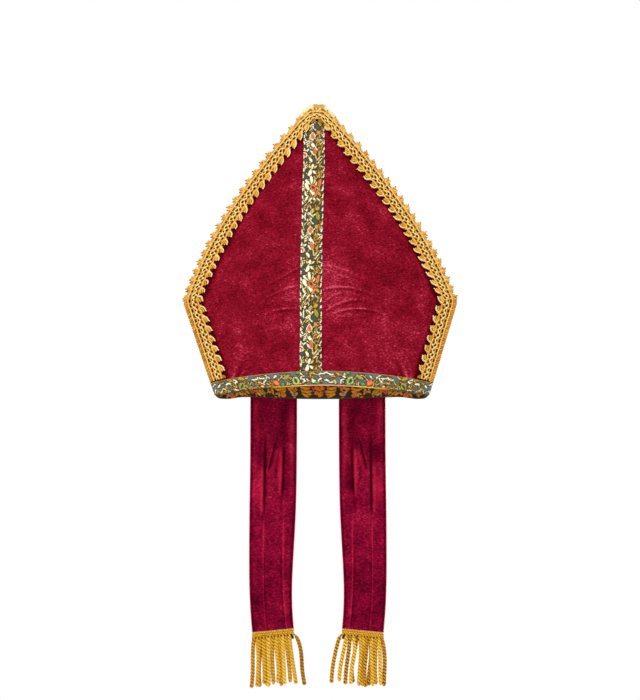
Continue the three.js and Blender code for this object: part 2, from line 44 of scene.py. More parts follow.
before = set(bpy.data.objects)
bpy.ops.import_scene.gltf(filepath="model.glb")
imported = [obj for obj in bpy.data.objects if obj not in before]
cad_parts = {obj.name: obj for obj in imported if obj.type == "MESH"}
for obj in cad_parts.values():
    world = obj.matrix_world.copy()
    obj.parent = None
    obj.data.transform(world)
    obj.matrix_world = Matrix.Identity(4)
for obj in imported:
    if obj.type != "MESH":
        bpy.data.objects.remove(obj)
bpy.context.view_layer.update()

MM = 0.001
BODY = "root"
FRONT = -1.0
BACK = 1.0

# Outline of a panel, seen from the front
RIM_HALF_WIDTH = 132.5
CORNER_HALF_WIDTH = 171.5
CORNER_HEIGHT = 120.0
PEAK_HALF_WIDTH = 10.5
PEAK_HEIGHT = 376.5
PEAK_LEAN = -6.5
SLOPE_BULGE = 18.5
SLOPE_SKEW = 0.87
CORNER_TURN = 0.46
CORNER_SOFTNESS = 32.0
EDGE_GRIP = 6.0

# The lens that the two panels make, seen from above
RIM_DEPTH = 52.0
PEAK_DEPTH = 6.5
DEPTH_POWER = 1.55
SLOPE_GAP = 5.0
SEAM_GAP = 0.15
SEAM_END = CORNER_HEIGHT - 9.0
SLOPE_START = CORNER_HEIGHT + 9.0
PANEL_WALL = 2.0
BLUNT_POWER = 0.68
SHARP_HEIGHT = 100.0
RIM_ARCH = {FRONT: (5.5, 1.5), BACK: (7.2, 6.0)}  # rise at the middle, and how flat it is there
# The rim's ends, as it hangs: height, place and spread of the front's rise, and of the back's rise
# and drop
RIM_ENDS = {FRONT: ((2.8, 0.0, 0.05),), BACK: ((3.6, 0.0, 0.016), (-2.3, 0.1, 0.1))}

# Rim binding and upright ribbon
TRIM_GAP = 0.4
BAND_WALL = 1.0
BAND_HEIGHT = {"end": 16.0, "middle": 16.5}
FACING_HEIGHT = {"end": 14.0, "middle": 17.0}
BAND_UNDER = 0.3
RIBBON_WIDTH = 27.0
RIBBON_FOOT_X = -14.0
RIBBON_TOP_X = -9.2
RIBBON_WALL = 0.9

# Lace round each panel
LACE_WIDTH = 27.0
LACE_PEAK_WIDTH = 22.5
LACE_SIDE_WIDTH = 24.2
LACE_PEAK_DROP = 4.4
LACE_PEAK_INSET = 1.8  # how far its outer edge moves in at the peak
# Repeats before the peak at which its drop starts and ends, and at which its inset does
PEAK_DROP_SPAN = (1.8, 0.2)
PEAK_INSET_SPAN = (4.5, 1.5)
SLOPE_NARROWING = 0.6  # how much narrower the lace is on the slopes than its full width
SLOPE_WIDENS = (0.0, 0.2)  # shares of the slope between which the lace takes its width there
PEAK_NARROWS = (0.8, 1.0)
LACE_LIFT = 0.8
LACE_FOOT_LIFT = 1.5
LACE_PEAK_LIFT = 2.1
PEAK_LIFT_SPAN = (294.0, 318.0)
LACE_SIDE_OVERHANG = 0.8
LACE_TURN = 0.38
LACE_FOOT = {"outer": 1.2, "inner": 3.4}
LACE_MITRE_HALF = 2.5
SIDE_REPEATS = 8
SLOPE_REPEATS = 22
HALF_REPEATS = SIDE_REPEATS + SLOPE_REPEATS
ALL_REPEATS = 2 * HALF_REPEATS + 1  # the last one is the peak's own
BISECTIONS = 40

# Satin fold between the slopes
GUSSET_LIP = 1.6
GUSSET_SINK = 11.0
GUSSET_HALF_WIDTH = 2.7
GUSSET_WALL = 1.0
GUSSET_START = CORNER_HEIGHT - 3.0

# Lappets and fringe
LAPPET_TOP = 12.0
LAPPET_LENGTH = 288.0
LAPPET_WALL = 2.0
LAPPET_WIDTH = {"top": 59.0, "bottom": 52.0}
LAPPET_SLANT = 5.0
LAPPET_FLATTENS = 110.0
LAPPET_SWAY = 3.0
SWAY_POWER = 3.0
LAPPETS = {"left": (-61.0, -1.0), "right": (51.0, 1.0)}  # middle line, and its outward way along X
FRINGE_GAP = 0.3
FRINGE_HEAD = {"height": 8.0, "thickness": 3.4}
FRINGE_LENGTH = 69.0
# How far outward the strands' ends stand, by the strands' place across
STRAND_SPREAD = {
    "across": (0, 0.3, 0.5, 0.73, 0.81, 0.885, 0.96),
    "outward": (1.2, 0.6, 0, -3.5, -6, -9, -14.5),
}


def linear(code):
    """The linear colour, with full alpha, of an sRGB hex value."""
    parts = [int(code[i:i + 2], 16) / 255 for i in (1, 3, 5)]
    return (*[p / 12.92 if p <= 0.04045 else ((p + 0.055) / 1.055) ** 2.4 for p in parts], 1.0)


def lerp(low, high, share):
    """The value that lies the given share of the way from low to high."""
    return low + (high - low) * share


def smoothstep(value, low, high):
    """0 up to low, 1 from high, and 3 s squared - 2 s cubed between them."""
    share = np.clip((value - low) / (high - low), 0, 1)
    return share * share * (3 - 2 * share)


def hump(offset, width):
    """1 at offset 0, falling off as exp(-(offset / width) squared)."""
    return np.exp(-((offset / width) ** 2))


def waves(place, rows):
    """A sum of sines, one a row: its height, and its length over 2 pi."""
    return sum(height * np.sin(place / length) for height, length in rows)


def stacked(*parts):
    """The parts as the last axis of one array."""
    return np.stack(np.broadcast_arrays(*parts), axis=-1)


# Shape of the hat


def middle_line(z):
    """X of the hat's middle: a straight line that leans to the left up to the peak."""
    return PEAK_LEAN * z / PEAK_HEIGHT


def half_width(z):
    """Straight from rim to corner; above, a straight line and a skewed half sine that swells it."""
    up = np.clip((z - CORNER_HEIGHT) / (PEAK_HEIGHT - CORNER_HEIGHT), 0, 1)
    slope = lerp(CORNER_HALF_WIDTH, PEAK_HALF_WIDTH, up)
    slope = slope + SLOPE_BULGE * np.sin(np.pi * up ** SLOPE_SKEW)
    side = lerp(RIM_HALF_WIDTH, CORNER_HALF_WIDTH, z / CORNER_HEIGHT)
    return np.where(z <= CORNER_HEIGHT, side, slope)


def soft_half_width(z):
    """A smooth minimum of the lines below and above the corner, which rounds the corner off."""
    below = lerp(RIM_HALF_WIDTH, CORNER_HALF_WIDTH, z / CORNER_HEIGHT)
    above = np.where(z > CORNER_HEIGHT, half_width(z), CORNER_HALF_WIDTH + CORNER_TURN * (CORNER_HEIGHT - z))
    share = np.clip(0.5 + (above - below) / (2 * CORNER_SOFTNESS), 0, 1)
    return lerp(above, below, share) - CORNER_SOFTNESS * share * (1 - share)


def depth(z):
    """Half the lens's depth: from the rim's to the peak's by a power of the height's share."""
    return lerp(RIM_DEPTH, PEAK_DEPTH, np.clip(z / PEAK_HEIGHT, 0, 1) ** DEPTH_POWER)


def openness(z):
    """0 where the panels' edges are sewn together, 1 where the slopes stand apart."""
    return smoothstep(z, SEAM_END, SLOPE_START)


def sharpness(z):
    """0 at the rim, where the ends of the lens are blunt, 1 where they are sharp."""
    return smoothstep(z, 0, SHARP_HEIGHT)


def end_lift(z, lift):
    """How much further out the ends of the lens lie when its sides are lifted."""
    slant = lerp(np.pi / 2, np.arctan(2 * depth(z) / half_width(z)), sharpness(z))
    return lift * (1 - openness(z)) / np.sin(slant)


def over_skin(across, z, side, lift):
    """x = middle + (half width + end lift) * across; y = side * (edge + (depth + lift - edge) * bow),
    with bow = (1 - (across * half width / rounded half width) squared) to a power that is under 1
    near the rim; across runs from -1 to 1."""
    edge = lerp(SEAM_GAP, SLOPE_GAP + lift, openness(z))
    bow_width = lerp(soft_half_width(z), half_width(z), np.abs(across) ** EDGE_GRIP)
    lens = np.maximum(1 - (across * half_width(z) / bow_width) ** 2, 0)
    bow = lens ** lerp(BLUNT_POWER, 1, sharpness(z))
    x = middle_line(z) + (half_width(z) + end_lift(z, lift)) * across
    y = side * lerp(edge, depth(z) + lift, bow)
    return stacked(x, y, z)


def over_panel(x, z, side, lift):
    """The same surface at a place seen from the front, which may lie past the panel's edge."""
    height = np.minimum(z, PEAK_HEIGHT)
    across = (x - middle_line(height)) / (half_width(height) + end_lift(height, lift))
    points = over_skin(np.clip(across, -1, 1), height, side, lift)
    points[..., 0] = x
    points[..., 2] = z
    return points


def rim_rise(across, side):
    """How far the rim rises: rise * (1 - |across| to a power)."""
    rise, power = RIM_ARCH[side]
    return rise * (1 - np.abs(across) ** power)


def rim_end(across, side):
    """How far the rim lies higher or lower near its two ends than in the solid."""
    return sum(height * hump(1 - np.abs(across) - place, spread) for height, place, spread in RIM_ENDS[side])


def ribbon_centre(z):
    return lerp(RIBBON_FOOT_X, RIBBON_TOP_X, z / PEAK_HEIGHT)


def band_top(across, side, heights):
    """Height of the band's upper edge, a parabola's share higher at the middle than at the ends."""
    return rim_rise(across, side) + lerp(heights["end"], heights["middle"], 1 - across ** 2)


# Meshes


class Part:
    """Points in millimetres, with the quads and triangles between them, and what the piece's
    materials read at each point: a place in the cloth (uv, in millimetres), a tone and a colour."""

    def __init__(self, points, quads, triangles=None, uv=None, tone=0.0, colour=None):
        self.points = np.asarray(points, float).reshape(-1, 3)
        count = len(self.points)
        self.quads = np.asarray(quads, int).reshape(-1, 4)
        self.triangles = np.zeros((0, 3), int) if triangles is None else np.asarray(triangles, int)
        self.uv = np.zeros((count, 2)) if uv is None else np.asarray(uv, float).reshape(-1, 2)
        self.tone = np.broadcast_to(np.asarray(tone, float).ravel(), (count,))
        self.colour = np.ones((count, 4)) if colour is None else np.asarray(colour).reshape(-1, 4)

    def facing_out(self):
        """Turns a closed part the right way out: its signed volume has to be positive."""
        halves = [self.quads[:, [0, 1, 2]], self.quads[:, [0, 2, 3]], self.triangles]
        a, b, c = (self.points[np.concatenate(halves)[:, k]] for k in range(3))
        if np.einsum("ij,ij->", a, np.cross(b, c)) < 0:
            self.quads = self.quads[:, ::-1]
            self.triangles = self.triangles[:, ::-1]
        return self


def add_object(name, data):
    thing = bpy.data.objects.new(name, data)
    bpy.context.scene.collection.objects.link(thing)
    return thing


def piece(name, parts, material):
    """One mesh object of one material, joined from its parts. The object stays at the origin, and its
    place is in its mesh."""
    starts = np.cumsum([0] + [len(part.points) for part in parts])
    faces = []
    for part, start in zip(parts, starts):
        faces += (part.quads + start).tolist() + (part.triangles + start).tolist()
    mesh = bpy.data.meshes.new(name)
    mesh.from_pydata(np.concatenate([part.points for part in parts]) * MM, [], faces)
    corners = np.empty(len(mesh.loops), np.int32)
    mesh.loops.foreach_get("vertex_index", corners)
    places = np.concatenate([part.uv for part in parts])[corners]
    mesh.uv_layers.new(name="Cloth").data.foreach_set("uv", places.astype(np.float32).ravel())
    tones = np.concatenate([part.tone for part in parts]).astype(np.float32)
    mesh.attributes.new("tone", "FLOAT", "POINT").data.foreach_set("value", tones)
    colours = np.concatenate([part.colour for part in parts]).astype(np.float32)
    mesh.color_attributes.new("weave", "FLOAT_COLOR", "POINT").data.foreach_set("color", colours.ravel())
    mesh.polygons.foreach_set("use_smooth", [True] * len(faces))
    mesh.materials.append(material)
    mesh.update()
    return add_object(name, mesh)


def settle(thing, slot, *nodes):
    """The piece rides on the hat's one body, and the solids that it stands for are hidden."""
    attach(thing, BODY)
    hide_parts(*nodes)
    return thing


def grid_quads(rows, columns, loops=False):
    """Quads between the points of a grid that is stored row by row; loops joins its last row on."""
    r, c = np.meshgrid(np.arange(rows if loops else rows - 1), np.arange(columns - 1), indexing="ij")
    after = (r + 1) % rows
    corners = [r * columns + c, r * columns + c + 1, after * columns + c + 1, after * columns + c]
    return stacked(*corners).reshape(-1, 4)


def ring_quads(stations, size, loops=False):
    """Quads of a closed section that is carried through stations; loops joins the last one on."""
    s, k = np.meshgrid(np.arange(stations if loops else stations - 1), np.arange(size), indexing="ij")
    next_s = (s + 1) % stations
    next_k = (k + 1) % size
    corners = [s * size + k, s * size + next_k, next_s * size + next_k, next_s * size + k]
    return stacked(*corners).reshape(-1, 4)


def wall(outer, inner, uv, colour=None, tone=0.0):
    """A closed cloth wall between two facing grids of points: both faces and the four edges."""
    rows, columns = outer.shape[:2]
    quads = grid_quads(rows, columns)
    count = rows * columns
    rim = np.concatenate([
        np.arange(columns),
        np.arange(1, rows) * columns + columns - 1,
        (rows - 1) * columns + np.arange(columns - 2, -1, -1),
        np.arange(rows - 2, 0, -1) * columns,
    ])
    after = np.roll(rim, -1)
    sides = stacked(after, rim, rim + count, after + count)
    whole = np.concatenate([quads, quads[:, ::-1] + count, sides])
    colours = None if colour is None else [colour] * 2
    tones = tone if np.ndim(tone) == 0 else [tone] * 2
    return Part([outer, inner], whole, uv=[uv] * 2, colour=colours, tone=tones).facing_out()


def grid(rows, columns, down, across=(0, 1)):
    """Two arrays of evenly spaced places: between the ends of down, and between those of across."""
    return np.meshgrid(np.linspace(*down, rows), np.linspace(*across, columns), indexing="ij")


def unit(vectors):
    return vectors / np.maximum(np.linalg.norm(vectors, axis=-1, keepdims=True), 1e-9)


def cap_triangles(stations, size):
    """Triangles between each end of a tube and a point there; the points of both ends are numbered
    after all of the sections' points."""
    count = stations * size
    turn = np.arange(size)
    after = (turn + 1) % size
    first = stacked(count, after, turn)
    last = stacked(count + 1, turn + count - size, after + count - size)
    return np.concatenate([first, last])


YARN_SIDES = 6
END_BULGE = 0.6  # how far a yarn's end point stands out, as a share of its radius


def yarns(path, radius, normal, tone, crest):
    """Round yarns along many paths at once, closed at both ends. With t the way along a path, n the
    normal square to it and b = t x n, a ring is path + radius * (cos a * n + sin a * b), and its tone
    is tone + crest * cos a, a painted highlight on the side towards n and painted shade on the far
    side. path and normal are (yarns, steps, 3), and radius is (yarns, steps)."""
    count, steps = path.shape[:2]
    along = unit(np.gradient(path, axis=1))
    up = unit(normal - np.sum(normal * along, axis=-1, keepdims=True) * along)
    beside = np.cross(along, up)
    angle = np.pi + 2 * np.pi * np.arange(YARN_SIDES) / YARN_SIDES
    radius = np.broadcast_to(radius, (count, steps))[..., None, None]
    round_ = np.cos(angle)[:, None] * up[:, :, None] + np.sin(angle)[:, None] * beside[:, :, None]
    rings = path[:, :, None] + radius * round_
    step = np.linalg.norm(np.diff(path, axis=1, prepend=path[:, :1]), axis=-1)
    run = np.broadcast_to(np.cumsum(step, axis=1)[..., None], (count, steps, YARN_SIDES))
    girth = np.broadcast_to(angle - np.pi, (count, steps, YARN_SIDES)) * radius[..., 0]
    start = path[:, 0] - along[:, 0] * radius[:, 0, 0] * END_BULGE
    end = path[:, -1] + along[:, -1] * radius[:, -1, 0] * END_BULGE
    points = np.concatenate([rings.reshape(count, -1, 3), start[:, None], end[:, None]], axis=1)
    size = steps * YARN_SIDES
    offsets = (np.arange(count) * (size + 2))[:, None, None]
    quads = (ring_quads(steps, YARN_SIDES)[None] + offsets).reshape(-1, 4)
    triangles = (cap_triangles(steps, YARN_SIDES)[None] + offsets).reshape(-1, 3)
    places = stacked(run, girth).reshape(count, -1, 2)
    places = np.concatenate([places, places[:, :1], places[:, -1:]], axis=1)
    # painted highlight on the side towards the normal, painted shade on the far side
    tones = np.asarray(tone, float).reshape(-1, 1) + crest * np.tile(np.cos(angle), steps)
    tones = np.broadcast_to(tones, (count, size))
    tones = np.concatenate([tones, tones[:, :1], tones[:, -1:]], axis=1)
    return Part(points, quads, triangles, uv=places, tone=tones).facing_out()


# Lace: a strip ruled between the panel's edge and a line inside it, seen from the front


def edge_point(z, way):
    """A point of the panel's edge, as X and height; way is 1 on the right and -1 on the left."""
    return stacked(middle_line(z) + way * half_width(z), z)


def inset_point(z, way, inset):
    """The edge's point moved in by the inset, square to the edge."""
    along = unit(edge_point(z + 1, way) - edge_point(z - 1, way))
    inward = stacked(-along[..., 1], along[..., 0]) * np.asarray(way)[..., None]
    return edge_point(z, way) + inward * np.asarray(inset)[..., None]


def mitre_height(inset, from_middle):
    """Height on the slope whose inset point lies a given distance from the middle line."""
    low, high = (CORNER_HEIGHT + PEAK_HEIGHT) / 2, PEAK_HEIGHT - 1
    for _ in range(BISECTIONS):
        z = (low + high) / 2
        x, height = inset_point(np.float64(z), 1.0, inset)
        if x - middle_line(height) > from_middle:
            low = z
        else:
            high = z
    return low


SLOPE_INNER_START = CORNER_HEIGHT + LACE_TURN * LACE_WIDTH
SLOPE_INNER_END = mitre_height(LACE_PEAK_WIDTH, LACE_MITRE_HALF)


def before_peak(near, span):
    """0 until the first number of repeats before the peak, and 1 from the second number on."""
    return smoothstep(near, HALF_REPEATS - span[0], HALF_REPEATS - span[1])


def lace_place(along, across, side, lift):
    """A point of the lace, on the straight line from its outer edge to its inner one, at across over
    the lace's width. along counts repeats from the left foot over the peak to the right foot, across
    is the distance from the panel's edge, and lift the height over the velvet."""
    along, across, lift = np.broadcast_arrays(along, across, lift)
    way = np.where(along > ALL_REPEATS / 2, 1.0, -1.0)
    near = np.clip(np.minimum(along, ALL_REPEATS - along), 0, HALF_REPEATS + 0.5)
    up_side = np.clip(near / SIDE_REPEATS, 0, 1)
    up_slope = np.clip((near - SIDE_REPEATS) / SLOPE_REPEATS, 0, 1)
    past_peak = np.clip(near - HALF_REPEATS, 0, 0.5)
    foot = {line: BAND_HEIGHT["end"] + LACE_FOOT[line] for line in LACE_FOOT}
    side_z = lerp(foot["outer"], CORNER_HEIGHT, up_side)
    slope_z = lerp(CORNER_HEIGHT, PEAK_HEIGHT, up_slope)
    outer = edge_point(np.where(near < SIDE_REPEATS, side_z, slope_z), way)
    outer[..., 0] += way * LACE_SIDE_OVERHANG * (1 - openness(outer[..., 1]))
    inner_foot = inset_point(np.full_like(near, foot["inner"]), way, LACE_SIDE_WIDTH)
    inner_foot[..., 1] = foot["inner"]
    inset = lerp(LACE_SIDE_WIDTH, LACE_WIDTH - SLOPE_NARROWING, smoothstep(up_slope, *SLOPE_WIDENS))
    inset = lerp(inset, LACE_PEAK_WIDTH, smoothstep(up_slope, *PEAK_NARROWS))
    inner = inset_point(lerp(SLOPE_INNER_START, SLOPE_INNER_END, up_slope), way, inset)
    inner = np.where((near < SIDE_REPEATS)[..., None], lerp(inner_foot, inner, up_side[..., None]), inner)
    for line in (outer, inner):
        middle = middle_line(line[..., 1])
        line[..., 0] = lerp(line[..., 0], 2 * middle - line[..., 0], past_peak)
    outer[..., 1] -= LACE_PEAK_DROP * before_peak(near, PEAK_DROP_SPAN)
    moved_in = LACE_PEAK_INSET * before_peak(near, PEAK_INSET_SPAN)
    across = across + moved_in * np.clip(1 - across / LACE_WIDTH, 0, 1)
    width = np.linalg.norm(outer - inner, axis=-1)
    share = np.where(across < 0, across / width, across / LACE_WIDTH)
    seen = lerp(outer, inner, share[..., None])
    raised = lerp(LACE_LIFT, LACE_PEAK_LIFT, smoothstep(seen[..., 1], *PEAK_LIFT_SPAN))
    raised = raised + LACE_FOOT_LIFT * (1 - sharpness(seen[..., 1]))
    return over_panel(seen[..., 0], seen[..., 1], side, raised + lift)


# The lace's ground: a strip of close net with a rounded tongue under each shell and with eyelets.
# A row is an oval: its place along a repeat, distance from the edge, half length, half width and
# how it is turned, in degrees
LACE_PITCH = 13.6
NET_CELLS = 15  # cells of the ground along a repeat
NET_SPAN = (-1.4, 25.0, 21)  # distances from the edge at both sides of its grid, and its columns
NET_EDGE = {"slope": 3.4, "peak": 0.4, "side": 0.3, "inner": 18.2}
NET_PEAK_SPAN = (2.4, 1.2)  # repeats before the peak at which its edge moves out
NET_WALL = 0.6
NET_UNDER = 0.05  # height of its underside
NET_TONE = 0.1
NET_TRIMS = 3  # times that cells which touch at a corner alone are joined
NET_STEPS = 2
NET_REACH = 0.45  # of a cell, the furthest that a point on its outline moves in one step
NET_PROBE = 0.05  # distance over which the outline's slope is measured
OUTER_TONGUE = (0.49, 4.4, 4.6, 5.9, 0)
INNER_TONGUE = (0.0, 19.4, 4.7, 4.2, 0)
EYELETS = [
    (0.00, 7.5, 2.3, 0.95, 6),
    (0.48, 7.2, 1.5, 0.75, -10),
    (0.50, 11.6, 1.8, 1.15, 0),
    (0.00, 11.5, 1.5, 1, 0),
    (0.26, 14.5, 1.6, 0.9, 52),
    (0.76, 14.7, 1.6, 0.9, -48),
    (0.52, 16.4, 1, 0.7, 0),
    (0.27, 8.6, 0.9, 0.6, 60),
    (0.10, 20.6, 0.9, 0.6, 40),
]
# Stitches worked in every repeat: start and end, as distances along from the middle of a shell and
# in from the edge, how far the middle bends aside, radius at both ends, height and paleness
OUTER_SHELL = [
    (0, 5.8, -4.2, 2.9, 0.7, 0.9, 1.3, 0.8, 0.34),
    (0, 5.8, -3.5, -0.1, 0.5, 0.9, 1.5, 0.9, 0.5),
    (0, 5.8, -0.7, -1.7, 0.2, 0.9, 1.6, 1, 0.36),
    (0, 5.8, 2.5, -1.2, -0.4, 0.9, 1.6, 0.9, 0.54),
    (0, 5.8, 4.2, 2, -0.7, 0.9, 1.4, 0.8, 0.34),
    (-2, -1.6, -2.3, -2.9, 0, 0.85, 0.8, 1, -0.12),
]
INNER_SHELL = [
    (3.6, 17.2, -3.1, 23.9, 2.6, 0.9, 1.15, 1, 0.80),
    (2.2, 17.2, -4.1, 21.6, 1.5, 0.9, 1.15, 0.9, 0.44),
    (0.8, 17.2, -4.7, 19.3, 0.8, 0.8, 1.05, 0.8, 0.28),
    (4.2, 17.2, 4, 20.6, 0.6, 0.8, 1, 0.7, 0.5),
    (-2.5, 23.6, -3.8, 24.6, 0, 0.8, 0.7, 1.5, 1.1),
]
NET_BARS = [
    (2.7, 5.2, 4, 10.6, 0.3, 0.75, 0.85, 0.7, 0.50),
    (-3.8, 5.2, -2.8, 10.8, -0.3, 0.75, 0.85, 0.7, 0.42),
    (0.4, 13.6, -0.8, 17.2, 0, 0.8, 0.9, 0.7, 0.60),
    (6.9, 13.4, 6.1, 17.2, 0, 0.8, 0.85, 0.6, 0.36),
    (2.6, 11, 4.2, 11.6, 0, 1.05, 1.15, 1.5, 1.05),
    (-4.3, 11.8, -2.8, 12.4, 0, 1, 1.1, 1.5, 0.92),
    (-0.6, 14.6, 0.6, 15.6, 0, 1, 1, 1.2, 1),
]
EDGE_BAR_STEP = 2.7
EDGE_BARS = [
    (EDGE_BAR_STEP * k - 6.6, -0.2, EDGE_BAR_STEP * k - 3.2, 4.6, 0.3, 1.15, 1.2, 0.6, 0.2 + 0.12 * (k % 2))
    for k in range(5)
]

# Cords that run the whole length, as waves: distance from the edge, how far it swings, its phase in
# turns, radius, height and tone
RUNNING_CORDS = [
    (5.2, 0.15, 0, 0.95, 1.4, 0.68),
    (11.2, 2, 0, 0.9, 1.4, 0.82),
    (11.8, 2.2, 0.46, 0.85, 1, 0.5),
    (17.4, 0.5, 0.5, 0.9, 1.2, 0.6),
]
STITCH_STEPS = 6
STITCH_ENDS = (0.7, 0.72)  # how thin a stitch is at its start and end, as a share of its radius
STITCH_ARCH = 0.4  # how much higher its middle is
STITCH_SWELL = 0.8
# How much the stitches vary: place of the end along and across, place of the start, bend, radius, tone
STITCH_VARY = {"to_u": 0.35, "to_v": 0.3, "u": 0.15, "bend": 0.2, "radius": 0.07, "tone": 0.09}
CORD_STEPS = 10
STITCH_SEED = 7
LACE_CREST_SHADING = 0.3  # painted highlight on a yarn's crest and painted shade under it: how much paler it is there
BARE_REPEATS = (30, 31)  # at the peak, without inner shells, over the ribbon


def oval_distance(along, across, row):
    """(share of the oval's radius - 1) * its half width, which is a signed distance near its outline."""
    place, middle, half_length, half_wide, turn = row
    turned = math.radians(turn)
    right = (np.mod(along - place + 0.5, 1.0) - 0.5) * LACE_PITCH
    down = across - middle
    local = (right * math.cos(turned) + down * math.sin(turned)) / half_length
    beside = (down * math.cos(turned) - right * math.sin(turned)) / half_wide
    return (np.hypot(local, beside) - 1) * min(half_length, half_wide)


def net_distance(along, across):
    """Signed distance to the lace's ground, negative inside it: the strip joined with the tongues, less
    the eyelets, each by a maximum or minimum of distances."""
    near = np.minimum(along, ALL_REPEATS - along)
    low = near < SIDE_REPEATS
    slope_edge = lerp(NET_EDGE["slope"], NET_EDGE["peak"], before_peak(near, NET_PEAK_SPAN))
    solid = np.maximum(np.where(low, NET_EDGE["side"], slope_edge) - across, across - NET_EDGE["inner"])
    solid = np.where(low, solid, np.minimum(solid, oval_distance(along, across, OUTER_TONGUE)))
    solid = np.minimum(solid, oval_distance(along, across, INNER_TONGUE))
    for row in EYELETS:
        solid = np.maximum(solid, -oval_distance(along, across, row))
    return solid


def net_part(side):
    """The ground as a wall of small cells: those outside its outline are left out, the points on the
    outline move onto it by two Newton steps, and a wall closes every edge and eyelet."""
    rows, columns = ALL_REPEATS * NET_CELLS + 1, NET_SPAN[2]
    count = rows * columns
    along, across = grid(rows, columns, (0, ALL_REPEATS), NET_SPAN[:2])
    kept = net_distance((along[1:, 1:] + along[:-1, :-1]) / 2, (across[1:, 1:] + across[:-1, :-1]) / 2) < 0
    for _ in range(NET_TRIMS):
        a, b, c, d = kept[:-1, :-1], kept[1:, :-1], kept[:-1, 1:], kept[1:, 1:]
        falling, rising = a & d & ~b & ~c, b & c & ~a & ~d
        kept[1:, :-1] |= falling
        kept[:-1, :-1] |= rising
    framed = np.pad(kept, 1)
    touching = framed[:-1, :-1].astype(int) + framed[1:, :-1] + framed[:-1, 1:] + framed[1:, 1:]
    border = (touching > 0) & (touching < 4)
    reach = NET_REACH * (NET_SPAN[1] - NET_SPAN[0]) / columns
    for _ in range(NET_STEPS):
        gap = net_distance(along, across)
        right = (net_distance(along + NET_PROBE / LACE_PITCH, across) - gap) / NET_PROBE
        down = (net_distance(along, across + NET_PROBE) - gap) / NET_PROBE
        step = np.clip(gap / (right ** 2 + down ** 2 + 1e-4), -reach, reach) * border
        along = np.clip(along - step * right / LACE_PITCH, 0, ALL_REPEATS)
        across = across - step * down
    i, j = np.nonzero(kept)
    index = np.arange(count).reshape(rows, columns)
    corners = [index[i, j], index[i + 1, j], index[i + 1, j + 1], index[i, j + 1]]
    upper = stacked(*corners)
    quads = [upper, upper[:, ::-1] + count]
    for beside_i, beside_j, first, second in ((0, 1, 3, 0), (2, 1, 1, 2), (1, 0, 0, 1), (1, 2, 2, 3)):
        bare = ~framed[i + beside_i, j + beside_j]
        start, end = corners[first][bare], corners[second][bare]
        quads.append(stacked(end, start, start + count, end + count))
    faces = [lace_place(along, across, side, lift).reshape(-1, 3) for lift in (NET_WALL, NET_UNDER)]
    places = stacked(along * LACE_PITCH, across).reshape(-1, 2)
    used, quads = np.unique(np.concatenate(quads), return_inverse=True)
    points = np.concatenate(faces)[used]
    uv = np.concatenate([places] * 2)[used]
    return Part(points, quads.reshape(-1, 4), uv=uv, tone=NET_TONE).facing_out()


def stitch_paths(rows, centre, repeats, side, dice):
    """Each row's stitch in every repeat: across and along run straight from its start to its end, with
    a parabola that bends it aside and one that lifts its middle."""
    table = np.array(rows)
    share = np.linspace(0, 1, STITCH_STEPS)
    u, v, to_u, to_v, bend, r, to_r, height, tone = (table[:, k][None, :, None] for k in range(9))
    shape = (len(repeats), len(rows), 1)
    wobble = dice.normal(0, 1, (5, *shape))
    to_u = to_u + STITCH_VARY["to_u"] * wobble[0]
    to_v = to_v + STITCH_VARY["to_v"] * wobble[1]
    u = u + STITCH_VARY["u"] * wobble[2]
    length = np.hypot(to_u - u, to_v - v)
    arch = 4 * share * (1 - share)
    aside = (bend + STITCH_VARY["bend"] * wobble[3]) * arch / length
    seen = lerp(u, to_u, share) + aside * (to_v - v)
    across = lerp(v, to_v, share) - aside * (to_u - u)
    along = np.asarray(repeats)[:, None, None] + centre + seen / LACE_PITCH
    lift = height + STITCH_ARCH * arch
    path = lace_place(along, across, side, lift)
    above = lace_place(along, across, side, lift + 1)
    swell = lerp(r, to_r, share ** STITCH_SWELL) * (1 + STITCH_VARY["radius"] * wobble[4])
    ends = np.array([STITCH_ENDS[0]] + [1.0] * (STITCH_STEPS - 2) + [STITCH_ENDS[1]])
    tones = np.broadcast_to(tone + STITCH_VARY["tone"] * wobble[4], shape)
    flat = (-1, STITCH_STEPS)
    lifted = (above - path).reshape(*flat, 3)
    return yarns(path.reshape(*flat, 3), (swell * ends).reshape(flat), lifted, tones, LACE_CREST_SHADING)


def running_cord(cord, side):
    """across = middle + swing * cos(2 pi * (along + phase)), from foot to foot."""
    middle, swing, phase, radius, height, tone = cord
    along = np.linspace(0, ALL_REPEATS, ALL_REPEATS * CORD_STEPS + 1)[None]
    across = middle + swing * np.cos(2 * np.pi * (along + phase))
    path = lace_place(along, across, side, height)
    above = lace_place(along, across, side, height + 1)
    return yarns(path, radius, above - path, tone, LACE_CREST_SHADING)


def lace_parts(side):
    """The net, then the stitches of every repeat, then the cords. The side seams have straight bars at
    their edge, and the slopes shells."""
    dice = np.random.default_rng(STITCH_SEED)
    low = list(range(SIDE_REPEATS))
    low += [ALL_REPEATS - 1 - k for k in low]
    high = [k for k in range(ALL_REPEATS) if k not in low]
    every = list(range(ALL_REPEATS))
    shelled = [k for k in every[1:] if k not in BARE_REPEATS]
    parts = [net_part(side)]
    for rows, centre, repeats in ((OUTER_SHELL, 0.5, high), (EDGE_BARS, 0.5, low), (NET_BARS, 0.5, every),
                                  (INNER_SHELL, 0.0, shelled)):
        parts.append(stitch_paths(rows, centre, repeats, side, dice))
    parts += [running_cord(cord, side) for cord in RUNNING_CORDS]
    return parts


# Velvet panels

